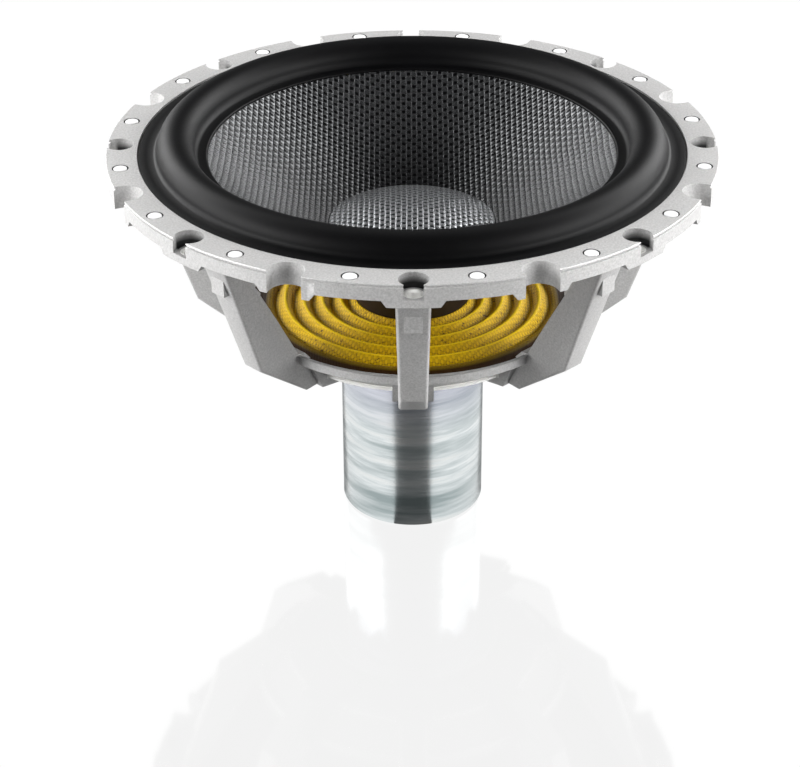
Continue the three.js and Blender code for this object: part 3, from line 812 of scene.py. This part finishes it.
def turned_steel():
    """Plated steel with lathe marks, green-grey and pale streaks, and a mauve cast towards its top."""
    settings = bpy.context.scene.motor_settings
    material, tree, shader, place = new_material("Turned steel", Metallic=1.0)
    shader.inputs["Anisotropic"].default_value = 0.9
    around = add(tree, "ShaderNodeSeparateXYZ", {0: place})
    across = times(tree, around.outputs[1], -1.0)
    turning = add(tree, "ShaderNodeCombineXYZ", {0: across, 1: around.outputs[0]})
    tangent = add(tree, "ShaderNodeVectorMath", {0: turning.outputs[0]}, operation="NORMALIZE")
    tree.links.new(tangent.outputs[0], shader.inputs["Tangent"])
    marks = use_group(tree, "Lathe marks", {"Vector": place, "Spacing": settings.groove})
    steel = settings.colour
    green = (steel[0] * 0.42, steel[1] * 0.47, steel[2] * 0.47, 1)
    pale = (1.0, 1.0, 0.98, 1)
    mauve = (steel[0] * 0.78, steel[1] * 0.72, steel[2] * 0.86, 1)
    banded = blend_colour(tree, ramp(tree, marks.outputs["Streaks"], 0.36, 0.56), green, opaque(steel))
    lit = blend_colour(tree, ramp(tree, marks.outputs["Streaks"], 0.54, 0.68), banded, pale)
    ringed_tone = blend_colour(tree, ramp(tree, marks.outputs["Bands"], 0.3, 0.7, 0.0, 0.3), lit, green)
    start, full = TOP + (COLUMN_TOP - 26) * MM, TOP + (COLUMN_TOP + 2) * MM
    upper = ramp(tree, around.outputs[2], start, full, 0.0, 0.85)
    tinted = blend_colour(tree, upper, ringed_tone, mauve)
    tree.links.new(tinted, shader.inputs["Base Color"])
    roughen(tree, shader, marks.outputs["Marks"], 0.12, 0.22, (0.3, 0.7))
    bump(tree, shader, marks.outputs["Marks"], 0.12, 0.0001)
    return material


def plain_metal(name, colour, roughness):
    """Machined or plated metal with a faint grain, for the fixings and the motor's inner pieces."""
    material, tree, shader, place = new_material(name, Metallic=0.9)
    grain = use_group(tree, "Grain", {"Vector": place, "Size": 1600.0})
    cloud = ramp(tree, grain.outputs["Cloud"], 0.3, 0.7)
    mixed = blend_colour(tree, cloud, opaque(colour, 0.8), opaque(colour))
    tree.links.new(mixed, shader.inputs["Base Color"])
    roughen(tree, shader, grain.outputs["Fine"], roughness - 0.08, roughness + 0.1)
    bump(tree, shader, grain.outputs["Fine"], 0.1, 0.00005)
    return material


def metal(name):
    return kept(name, plain_metal, name, *METALS[name])


def black_plastic():
    material, tree, shader, place = new_material("Black nylon")
    grain = use_group(tree, "Grain", {"Vector": place, "Size": 1100.0})
    cloud = ramp(tree, grain.outputs["Cloud"], 0.3, 0.7)
    colour = blend_colour(tree, cloud, NEAR_BLACK, (0.022, 0.022, 0.024, 1))
    tree.links.new(colour, shader.inputs["Base Color"])
    roughen(tree, shader, grain.outputs["Fine"], 0.45, 0.65)
    bump(tree, shader, grain.outputs["Fine"], 0.2, 0.0001)
    return material


# Basket


def spoke_plate():
    """One spoke as an upright plate, wider at its back than at its face, with softened face edges."""
    face, back = (5.75, 4.5), (6.5, 5.0)

    def half_width(r, z):
        down = -z / 58
        inward = (mix(94, 76, down) - r) / 12
        return mix(mix(*face, down), mix(*back, down), inward)

    outline = [(94, -4.6), (90.5, -16.4), (76, -58), (56, -73), (51, -72.6), (46, -70)]
    outline += [(57, -57.6), (59.8, -57.1), (69, -40.7), (79.2, -23), (89, -4.6)]
    bm = plate(outline, half_width)
    face_line = [at(r, z) for r, z in outline[:5]]
    long_edges = []
    for edge in bm.edges:
        ends = [Vector((v.co.x, 0, v.co.z)) for v in edge.verts]
        same_side = edge.verts[0].co.y * edge.verts[1].co.y > 0
        on_face = all(min((end - point).length for point in face_line) < 1e-6 for end in ends)
        if same_side and on_face:
            long_edges.append(edge)
    bmesh.ops.bevel(
        bm, geom=long_edges, offset=SPOKE_BEVEL * MM, segments=3, profile=0.5, affect="EDGES", material=-1
    )
    return bm


def rib_under_bowl():
    """The spoke's foot, which runs in under the bowl."""
    outline = [(56.5, -61), (50.7, -73), (41.4, -74.1), (34, -74.1), (34, -70), (46, -69)]
    return plate(outline, lambda r, z: 7)


def lug():
    """The small raised pad near the top of a spoke's face."""
    top = [(LUG_FACE_R, LUG_TOP), (LUG_ROOT_R, LUG_TOP)]
    bottom = [(LUG_ROOT_R, LUG_BOTTOM), (LUG_FACE_R, LUG_BOTTOM)]
    return plate(top + bottom, lambda r, z: LUG_HALF_WIDTH)


def boss():
    """A boss under the rim, shaped as a prism through the rim's thickness."""
    bm = bmesh.new()
    splayed = BOSS_HALF_WIDTH + BOSS_SPLAY
    side = [(BOSS_HALF_WIDTH, BOSS_UNDERSIDE), (splayed, RIM_UNDERSIDE), (splayed, BOSS_ROOT)]
    section = side + [(-y, z) for y, z in reversed(side)]
    face = bm.faces.new([bm.verts.new((BOSS_INNER_R * MM, y * MM, TOP + z * MM)) for y, z in section])
    made = bmesh.ops.extrude_face_region(bm, geom=[face])["geom"]
    far = [v for v in made if isinstance(v, bmesh.types.BMVert)]
    bmesh.ops.translate(bm, verts=far, vec=((RIM_R + 2 - BOSS_INNER_R) * MM, 0, 0))
    bmesh.ops.recalc_face_normals(bm, faces=bm.faces)
    return bm


def screw_pocket():
    """The space cut for one mounting screw: a round pocket open to the rim, with a countersunk hole."""
    keyhole = arc((BOLT_R + POCKET_OFFSET, 0), POCKET_R, 39, 321, 28)
    mouth = RIM_R + CUT_REACH
    outline = [(mouth, SLOT_HALF_WIDTH)] + keyhole + [(mouth, -SLOT_HALF_WIDTH)]
    pocket = prism(outline, POCKET_FLOOR, CUT_TOP)
    sink = drum(SCREW_HOLE_R, -6.1, -4.9, BOLT_R, SINK_TOP_R, 24)
    hole = drum(SCREW_HOLE_R, CUT_BOTTOM, RIM_UNDERSIDE, BOLT_R, None, 24)
    return pocket, sink, hole


def open_notch():
    """The space cut for a round notch that opens through the rim, between two spokes."""
    mouth = RIM_R + CUT_REACH
    outline = [(mouth, NOTCH_R)] + arc((NOTCH_CENTRE_R, 0), NOTCH_R, 90, 270, 20) + [(mouth, -NOTCH_R)]
    return prism(outline, CUT_BOTTOM, CUT_TOP)


def rim_ring():
    """The flange before it is cut, with a fine groove round its edge and a seat for the surround."""
    rim = RIM_R
    outline = [(MOUTH_R, RIM_UNDERSIDE), (rim, RIM_UNDERSIDE), (rim, -1.25), (rim - 0.6, -1.05)]
    outline += [(rim - 0.6, -0.55), (rim - 0.15, -0.4), (rim - 0.3, 0), (SEAT_R, 0)]
    outline += [(SEAT_R, SEAT_FLOOR), (MOUTH_R, SEAT_FLOOR)]
    return turned(outline, 256)


def bowl_shell():
    """The shallow bowl at the spokes' feet, with a ledge for the spider and a lip round its foot."""
    lip_r, lip_z = BOWL_LIP
    foot_r, foot_z = BOWL_FOOT
    inner_r = lip_r - BOWL_LIP_WIDTH
    outline = [(BOWL_BORE_R, BOWL_FLOOR), (foot_r - 2, BOWL_FLOOR), (foot_r - 0.1, foot_z - 1.3)]
    outline += [(foot_r + 0.7, foot_z - 1.0), (foot_r + 0.7, foot_z - 0.2), (foot_r - 0.2, foot_z + 0.3)]
    outline += [(foot_r + 0.2, foot_z + 0.2), (lip_r, lip_z), (inner_r, lip_z), (inner_r, SPIDER_LEDGE)]
    outline += [(SPIDER_R, SPIDER_LEDGE), (foot_r - 4, BOWL_FLOOR_TOP), (BOWL_BORE_R, BOWL_FLOOR_TOP)]
    return turned(outline, 192)


def rim_trim():
    """Everything outside the rim, to trim the bosses."""
    outer, top = RIM_R + 6, 2
    return turned([(RIM_R, CUT_BOTTOM), (outer, CUT_BOTTOM), (outer, top), (RIM_R, top)], 256)


class DRIVER_OT_basket(bpy.types.Operator):
    """Cast basket: notched flange, spokes, ribs and bowl in one casting"""

    bl_idname = "driver.basket"
    bl_label = "Basket"

    def execute(self, context):
        settings = context.scene.basket_settings
        on_spoke, between = spoke_angles(), spoke_angles(0.5)
        pocket, sink, hole = screw_pocket()
        magnet_angles = spoke_angles(0.25) + spoke_angles(0.75)
        magnet_hole = drum(MAGNET_HOLE_R, -MAGNET_DEPTH - 0.3, 2, BOLT_R, None, 40)
        steps = [
            ("UNION", ringed(boss(), on_spoke + between)),
            ("DIFFERENCE", rim_trim()),
            ("DIFFERENCE", ringed(pocket, on_spoke)),
            ("DIFFERENCE", ringed(sink, on_spoke)),
            ("DIFFERENCE", ringed(hole, on_spoke)),
            ("DIFFERENCE", ringed(open_notch(), between)),
            ("DIFFERENCE", ringed(magnet_hole, magnet_angles)),
            ("UNION", ringed(spoke_plate(), on_spoke)),
        ]
        rim = carved(rim_ring(), steps)
        whole = bmesh.new()
        whole.from_mesh(rim)
        bpy.data.meshes.remove(rim)
        bracket_plan = [(54, -12), (74.2, -12), (74.2, 12), (54, 12)]
        bracket = swung(prism(bracket_plan, BRACKET_BOTTOM, BRACKET_TOP), TERMINAL_TURN)
        rest = gathered([bowl_shell(), ringed(rib_under_bowl(), on_spoke), ringed(lug(), on_spoke), bracket])
        mesh = bpy.data.meshes.new("rest")
        rest.to_mesh(mesh)
        rest.free()
        whole.from_mesh(mesh)
        bpy.data.meshes.remove(mesh)
        material = kept("Cast aluminium", cast_aluminium)
        piece = finished(whole, "basket_casting", material, "chassis", ["basket"])
        rounded(piece, settings.edge, 2, 35)
        return {"FINISHED"}


class DRIVER_OT_magnets(bpy.types.Operator):
    """Sixteen small nickel magnets set flush in the flange"""

    bl_idname = "driver.magnets"
    bl_label = "Grille magnets"

    def execute(self, context):
        material = kept("Nickel plate", nickel_plate)
        for k in range(2 * SPOKES):
            side = [(0, -MAGNET_DEPTH), (MAGNET_R, -MAGNET_DEPTH), (MAGNET_R, -MAGNET_EDGE)]
            bm = turned(side + [(MAGNET_R - MAGNET_EDGE, 0), (0, 0)], 40, False)
            bmesh.ops.translate(bm, verts=bm.verts, vec=(BOLT_R * MM, 0, 0))
            swung(bm, FRONT + (k + 0.5) / 2 * PITCH)
            node = f"grille_magnet_{k + 1:02d}"
            finished(bm, f"magnet_{k + 1:02d}", material, "chassis", [node])
        return {"FINISHED"}


# Suspension


def flexing(piece, inner_r, outer_r):
    """Lets a ring stretch between the moving assembly inside and the chassis outside, by radius."""
    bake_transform(piece, "chassis", "moving_assembly", (outer_r * MM, 0, 0), (inner_r * MM, 0, 0))
    weights = piece.data.attributes["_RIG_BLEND"].data
    for vertex, weight in zip(piece.data.vertices, weights):
        radius = math.hypot(vertex.co.x, vertex.co.y) / MM
        weight.value = ease((outer_r - radius) / (outer_r - inner_r))


class DRIVER_OT_surround(bpy.types.Operator):
    """Half-roll rubber surround"""

    bl_idname = "driver.surround"
    bl_label = "Surround"

    def execute(self, context):
        roll = (ROLL_R, 0)
        inner = ROLL_RADIUS - ROLL_WALL
        roll_in, roll_out = ROLL_R - ROLL_RADIUS, ROLL_R + ROLL_RADIUS
        lip = CONE_EDGE[0]
        outline = [(SEAT_R - 0.5, -1.2), (SEAT_R - 0.35, -0.5), (SEAT_R - 0.9, -0.35), (SEAT_R - 3, -0.3)]
        outline += [(roll_out + 1.1, -0.25), (roll_out + 0.35, 0.1)]
        outline += arc(roll, ROLL_RADIUS, 10, 172, 36)
        outline += [(roll_in - 0.5, -1.0), (roll_in - 1.4, -1.5), (lip + 0.8, -1.65)]
        outline += [(lip + 0.35, -1.75), (lip + 0.2, -2.1), (lip + 0.3, -2.4)]
        outline += [(ROLL_R - inner, -2.4)] + arc(roll, inner, 176, 6, 24) + [(ROLL_R + inner + 0.2, -1.2)]
        material = kept("Black rubber", black_rubber)
        piece = finished(turned(outline, 256), "rubber_surround", material, None, (), STEEP)
        flexing(piece, roll_in, roll_out)
        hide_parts("surround")
        return {"FINISHED"}


class DRIVER_OT_spider(bpy.types.Operator):
    """Corrugated aramid spider with its collar"""

    bl_idname = "driver.spider"
    bl_label = "Spider"

    def execute(self, context):
        wave = context.scene.suspension_settings.wave / MM
        half = SPIDER_HALF_WALL
        first, last = 22.6, 50.6
        middle = []
        steps = 72
        for i in range(steps + 1):
            r = mix(first, last, i / steps)
            fade = ease((r - 21.5) / 2) * ease((last - r) / 2.2)
            phase = 2 * math.pi * (r - WAVE_FIRST) / WAVE_PITCH
            middle.append((r, SPIDER_Z + 0.35 + wave * math.cos(phase) * fade))
        seat = [(51.6, 0.25), (52.0, -0.1), (52.3, -0.35), (59.0, -0.4)]
        middle += [(r, SPIDER_Z + z) for r, z in seat]
        top = [(r, z + half) for r, z in middle]
        under = [(r, z - half) for r, z in reversed(middle)]
        collar = [(NECK_R, -half), (NECK_R, 2.6), (20.9, 2.6), (21.6, 1.0)]
        bm = turned(top + under + [(r, SPIDER_Z + z) for r, z in collar], 192)
        material = kept("Yellow aramid", yellow_aramid)
        piece = finished(bm, "aramid_spider", material, None, (), STEEP)
        flexing(piece, SPIDER_FLEX_R, SPIDER_R)
        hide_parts("spider")
        return {"FINISHED"}


# Moving assembly


def cone_height(r):
    """The cone's face between its edge and its valley, which sags a little below a straight line."""
    share = (CONE_EDGE[0] - r) / (CONE_EDGE[0] - VALLEY[0])
    return mix(CONE_EDGE[1], VALLEY[1], share) - CONE_SAG * 4 * share * (1 - share)


class DRIVER_OT_cone(bpy.types.Operator):
    """Woven cone from its lip to the neck"""

    bl_idname = "driver.cone"
    bl_label = "Cone"

    def execute(self, context):
        steps = 40
        radii = [mix(CONE_EDGE[0], VALLEY[0], i / steps) for i in range(steps + 1)]
        face = [(r, cone_height(r)) for r in radii]
        face += [(24.5, -33.9), (21.4, -36.7), (NECK_R, -37.6)]
        back = [(r + 0.6, z - 1.1) for r, z in reversed(face)]
        lip = [(74.0, -3.9), (74.2, -3.3), (74.0, -2.75), (70.6, -2.7)]
        collar = [(NECK_R, -40.4), (21.3, -40.4)]
        bm = turned(lip + face + collar + back, 256)
        material = kept("Woven fibre", woven_fibre, "Woven fibre", 1.0)
        sharp = math.radians(50)
        finished(bm, "woven_cone", material, "moving_assembly", ["cone"], sharp)
        return {"FINISHED"}


class DRIVER_OT_dust_cap(bpy.types.Operator):
    """Shallow domed dust cap in the same weave"""

    bl_idname = "driver.dust_cap"
    bl_label = "Dust cap"

    def execute(self, context):
        rim_z = VALLEY[1] + 0.5
        ball = (VALLEY[0] ** 2 + CAP_RISE**2) / (2 * CAP_RISE)
        centre = rim_z + CAP_RISE - ball
        edge = math.degrees(math.acos(VALLEY[0] / ball))
        outer = arc((0, centre), ball, edge, 90, 28)
        inner = [(r, z - CAP_WALL) for r, z in reversed(outer)]
        outer[-1] = (0, outer[-1][1])
        inner[0] = (0, inner[0][1])
        inner[-1] = (VALLEY[0] - 0.6, inner[-1][1] + 0.2)
        bm = turned(inner + outer, 192, False)
        # The cap wears a copy of the weave painted brighter, standing in for the light it catches.
        material = kept("Woven fibre cap", woven_fibre, "Woven fibre cap", CAP_PAINTED_GAIN)
        finished(bm, "woven_dust_cap", material, "moving_assembly", ["dust_cap"], STEEP)
        return {"FINISHED"}


class DRIVER_OT_voice_coil(bpy.types.Operator):
    """Voice coil tube and its copper winding"""

    bl_idname = "driver.voice_coil"
    bl_label = "Voice coil"

    def execute(self, context):
        side = [(FORMER_INNER_R, FORMER_BOTTOM), (FORMER_OUTER_R, FORMER_BOTTOM)]
        side += [(FORMER_OUTER_R, FORMER_TOP), (FORMER_INNER_R, FORMER_TOP)]
        dark = kept("Dark former", former_tube)
        finished(turned(side, 128), "former_tube", dark, "moving_assembly", ["voice_coil_former"])
        step = (WINDING_TOP - WINDING_BOTTOM) / WINDING_ROWS
        wire_r = step / 2 * 0.98
        outline = [(NECK_R, WINDING_BOTTOM), (NECK_R, WINDING_TOP)]
        for i in range(WINDING_ROWS):
            z = WINDING_TOP - (i + 0.5) * step
            outline += arc((WINDING_CENTRE_R, z), wire_r, 85, -85, 4)
        coil = turned(outline, 96)
        copper = metal("Enamelled copper")
        finished(coil, "copper_winding", copper, "moving_assembly", ["voice_coil_winding"], STEEP)
        return {"FINISHED"}


# Motor


class DRIVER_OT_motor(bpy.types.Operator):
    """Turned motor column and the plate that bolts it to the bowl"""

    bl_idname = "driver.motor"
    bl_label = "Motor"

    def execute(self, context):
        r, base, top = COLUMN_R, BASE, COLUMN_TOP
        floor = base + COLUMN_FLOOR
        outline = [(0, base), (r - 1.1, base), (r - 0.35, base + 0.25), (r, base + 0.9), (r, top - 0.6)]
        outline += [(r - 0.5, top), (COLUMN_BORE_R, top), (COLUMN_BORE_R, floor), (PILLAR_R, floor)]
        outline += [(PILLAR_R, -105), (16, -105), (16, -92.6), (2.8, -92.6), (2.8, -106), (0, -106)]
        bm = turned(outline, 192, False)
        steel = kept("Turned steel", turned_steel)
        column = finished(bm, "motor_column", steel, "chassis", ["yoke"])
        rounded(column, 0.12 * MM, 2, 35)
        low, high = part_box("front_plate")
        bottom, roof, outer = (low.z - TOP) / MM, (high.z - TOP) / MM, high.x / MM
        disc = turned([(GAP_OUTER_R, bottom), (outer, bottom), (outer, roof), (GAP_OUTER_R, roof)], 160)
        machined = metal("Machined steel")
        collar = finished(disc, "front_plate_ring", machined, "chassis", ["front_plate"])
        rounded(collar, 0.5 * MM, 3, 35)
        return {"FINISHED"}


class DRIVER_OT_inner_parts(bpy.types.Operator):
    """Finishes for the motor's inner pieces and its screws"""

    bl_idname = "driver.inner_parts"
    bl_label = "Inner parts"

    def execute(self, context):
        nickel = kept("Nickel plate", nickel_plate)
        looks = {
            "pole_plate": metal("Machined steel"),
            "main_magnet": nickel,
            "bucking_magnet": nickel,
            "shorting_ring": metal("Bare copper"),
            "pole_clamp_screw": metal("Zinc plate"),
        }
        for k in range(MOTOR_SCREWS):
            looks[f"motor_screw_{k + 1}"] = metal("Zinc plate")
        for name, material in looks.items():
            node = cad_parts[name]
            node.data.materials.clear()
            node.data.materials.append(material)
        return {"FINISHED"}


class DRIVER_OT_terminals(bpy.types.Operator):
    """Terminal board with two blade terminals and their rivets"""

    bl_idname = "driver.terminals"
    bl_label = "Terminals"

    def execute(self, context):
        plan = [(61.2, -13), (76.2, -13), (76.2, 13), (61.2, 13)]
        board = swung(prism(plan, BOARD_BOTTOM, BOARD_TOP), TERMINAL_TURN)
        nylon = kept("Black nylon", black_plastic)
        piece = finished(board, "terminal_plate", nylon, "chassis", ["terminal_board"])
        rounded(piece, 0.5 * MM, 3)
        for name, side in (("positive", BLADE_OFFSET), ("negative", -BLADE_OFFSET)):
            foot, tip, step = BLADE_FOOT, BLADE_FOOT + BLADE_HEIGHT, BLADE_FOOT + BLADE_THICKNESS
            inner, outer = 62.7, 75.7
            root = outer - BLADE_THICKNESS
            strip = [(inner, foot), (outer, foot), (outer, tip), (root, tip), (root, step), (inner, step)]
            blade = plate(strip, lambda r, z: 2.4 if z > foot + 1 else 3.15)
            bmesh.ops.translate(blade, verts=blade.verts, vec=(0, side * MM, 0))
            swung(blade, TERMINAL_TURN)
            gold = metal("Gold plate")
            piece = finished(blade, f"blade_{name}", gold, "chassis", [f"terminal_{name}"])
            rounded(piece, 0.15 * MM, 2)
            dome = [(0, 1.1), (1.8, 1.1), (1.75, 1.5), (1.2, 2.0), (0, 2.1)]
            head = turned([(r, foot + z) for r, z in dome], 32, False)
            bmesh.ops.translate(head, verts=head.verts, vec=(RIVET_R * MM, side * MM, 0))
            swung(head, TERMINAL_TURN)
            zinc = metal("Zinc plate")
            finished(head, f"rivet_{name}", zinc, "chassis", [f"terminal_rivet_{name}"])
        return {"FINISHED"}


# Stage


def floor_material():
    """A floor that glows pale to the camera and mirrors the driver faintly, and shows metal dark shapes."""
    material = bpy.data.materials.new("White floor")
    material.use_nodes = True
    tree = material.node_tree
    tree.nodes.clear()
    rays = tree.nodes.new("ShaderNodeLightPath").outputs
    glow = add(tree, "ShaderNodeEmission", {"Color": (1, 1, 1, 1), "Strength": 0.885})
    gloss = add(tree, "ShaderNodeBsdfGlossy", {"Color": (0.03, 0.03, 0.03, 1), "Roughness": 0.06})
    seen = add(tree, "ShaderNodeAddShader", {0: glow.outputs[0], 1: gloss.outputs[0]})
    matt = add(tree, "ShaderNodeBsdfDiffuse", {"Color": (0.03, 0.03, 0.03, 1)})
    place = tree.nodes.new("ShaderNodeTexCoord").outputs["Object"]
    x, y, _ = add(tree, "ShaderNodeSeparateXYZ", {0: place}).outputs
    forward = times(tree, maths(tree, "ADD", y, WEDGE_TIP * MM), -1.0)
    sideways = maths(tree, "ABSOLUTE", maths(tree, "ARCTAN2", x, forward))
    shine = ramp(tree, sideways, math.radians(WEDGE_SIDE[0]), math.radians(WEDGE_SIDE[1]), 0.13, 0.98)
    lean = maths(tree, "SUBTRACT", maths(tree, "ABSOLUTE", x), times(tree, y, REAR_SPREAD))
    beside = ramp(tree, lean, REAR_SIDE[0] * MM, REAR_SIDE[1] * MM, REAR_TONE, 1.0)
    behind = maths(tree, "MAXIMUM", beside, ramp(tree, y, 0.0, -5 * MM))
    white = add(tree, "ShaderNodeEmission", {"Strength": times(tree, shine, behind)}).outputs[0]
    to_metal = {0: rays["Is Glossy Ray"], 1: matt.outputs[0], 2: white}
    mirrored = add(tree, "ShaderNodeMixShader", to_metal).outputs[0]
    to_camera = {0: rays["Is Camera Ray"], 1: mirrored, 2: seen.outputs[0]}
    either = add(tree, "ShaderNodeMixShader", to_camera)
    output = tree.nodes.new("ShaderNodeOutputMaterial")
    tree.links.new(either.outputs[0], output.inputs[0])
    return material


def soft_light(name, place, size, power, target=(0, 0, 0), receivers=None):
    """A rectangular lamp turned to its target, which may light one collection alone."""
    data = bpy.data.lights.new(name, "AREA")
    data.shape = "RECTANGLE"
    data.size, data.size_y = size
    data.energy = power
    lamp = bpy.data.objects.new(name, data)
    bpy.context.scene.collection.objects.link(lamp)
    lamp.location = place
    lamp.rotation_euler = (Vector(target) - Vector(place)).to_track_quat("-Z", "Y").to_euler()
    lamp.light_linking.receiver_collection = receivers
    return lamp


def only(name, piece):
    """A collection that holds one piece, for a lamp that lights it alone."""
    group = bpy.data.collections.new(name)
    group.objects.link(piece)
    return group


class DRIVER_OT_stage(bpy.types.Operator):
    """White floor, soft studio lights and the camera"""

    bl_idname = "driver.stage"
    bl_label = "Stage"

    def execute(self, context):
        scene = context.scene
        settings = scene.stage_settings
        bm = bmesh.new()
        bmesh.ops.create_grid(bm, x_segments=1, y_segments=1, size=FLOOR_HALF)
        mesh = bpy.data.meshes.new("floor")
        bm.to_mesh(mesh)
        bm.free()
        mesh.materials.append(floor_material())
        floor = bpy.data.objects.new("floor", mesh)
        scene.collection.objects.link(floor)
        world = bpy.data.worlds.new("Studio")
        world.use_nodes = True
        background = world.node_tree.nodes["Background"]
        background.inputs["Color"].default_value = (1, 1, 1, 1)
        seen = world.node_tree.nodes.new("ShaderNodeLightPath").outputs["Is Camera Ray"]
        strength = ramp(world.node_tree, seen, 0.0, 1.0, AMBIENT, 1.0)
        world.node_tree.links.new(strength, background.inputs["Strength"])
        scene.world = world
        middle = (0, 0, TOP * 0.7)
        lit_floor = only("lit by the sky", floor)
        sky_place, sky_size = (0, 0, SKY_HEIGHT), (SKY_WIDTH, SKY_WIDTH)
        sky = soft_light("sky over the floor", sky_place, sky_size, SKY_POWER, receivers=lit_floor)
        sky.visible_camera = False
        casting = only("cast metal", bpy.data.objects["basket_casting"])
        place, size, power = METAL_LAMP
        soft_light("light on the metal", place, size, power, middle, casting)
        for side in (-1, 1):
            for name, (x, y, z), size, power in SIDE_LAMPS:
                soft_light(name, (side * x, y, z), size, power, middle)
            (x, y, z), size, power = LOW_METAL_LAMP
            soft_light("low light on the metal", (side * x, y, z), size, power, middle, casting)
        camera = bpy.data.cameras.new("camera")
        camera.lens = settings.lens
        camera.sensor_width = SENSOR_WIDTH
        view = bpy.data.objects.new("camera", camera)
        scene.collection.objects.link(view)
        view.location = CAMERA_PLACE
        view.rotation_euler = (math.pi / 2 - settings.pitch, settings.roll, 0)
        scene.camera = view
        scene.view_settings.view_transform = "Standard"
        return {"FINISHED"}


class DRIVER_PT_panel(bpy.types.Panel):
    """Lists the driver's pieces in the sidebar"""

    bl_idname = "DRIVER_PT_panel"
    bl_label = "Subwoofer Driver"
    bl_space_type = "VIEW_3D"
    bl_region_type = "UI"
    bl_category = "Driver"

    def draw(self, context):
        for operator in OPERATORS:
            self.layout.operator(operator.bl_idname)


OPERATORS = (
    DRIVER_OT_basket,
    DRIVER_OT_magnets,
    DRIVER_OT_surround,
    DRIVER_OT_spider,
    DRIVER_OT_cone,
    DRIVER_OT_dust_cap,
    DRIVER_OT_voice_coil,
    DRIVER_OT_motor,
    DRIVER_OT_inner_parts,
    DRIVER_OT_terminals,
    DRIVER_OT_stage,
)
SETTINGS = {
    "basket_settings": BasketSettings,
    "cone_settings": ConeSettings,
    "suspension_settings": SuspensionSettings,
    "motor_settings": MotorSettings,
    "stage_settings": StageSettings,
}


def register():
    for name, group in SETTINGS.items():
        bpy.utils.register_class(group)
        setattr(bpy.types.Scene, name, bpy.props.PointerProperty(type=group))
    for cls in OPERATORS + (DRIVER_PT_panel,):
        bpy.utils.register_class(cls)


def unregister():
    for cls in reversed(OPERATORS + (DRIVER_PT_panel,)):
        bpy.utils.unregister_class(cls)
    for name, group in reversed(SETTINGS.items()):
        delattr(bpy.types.Scene, name)
        bpy.utils.unregister_class(group)


def main():
    register()
    for operator in OPERATORS:
        area, name = operator.bl_idname.split(".")
        getattr(getattr(bpy.ops, area), name)()


if __name__ == "__main__":
    main()
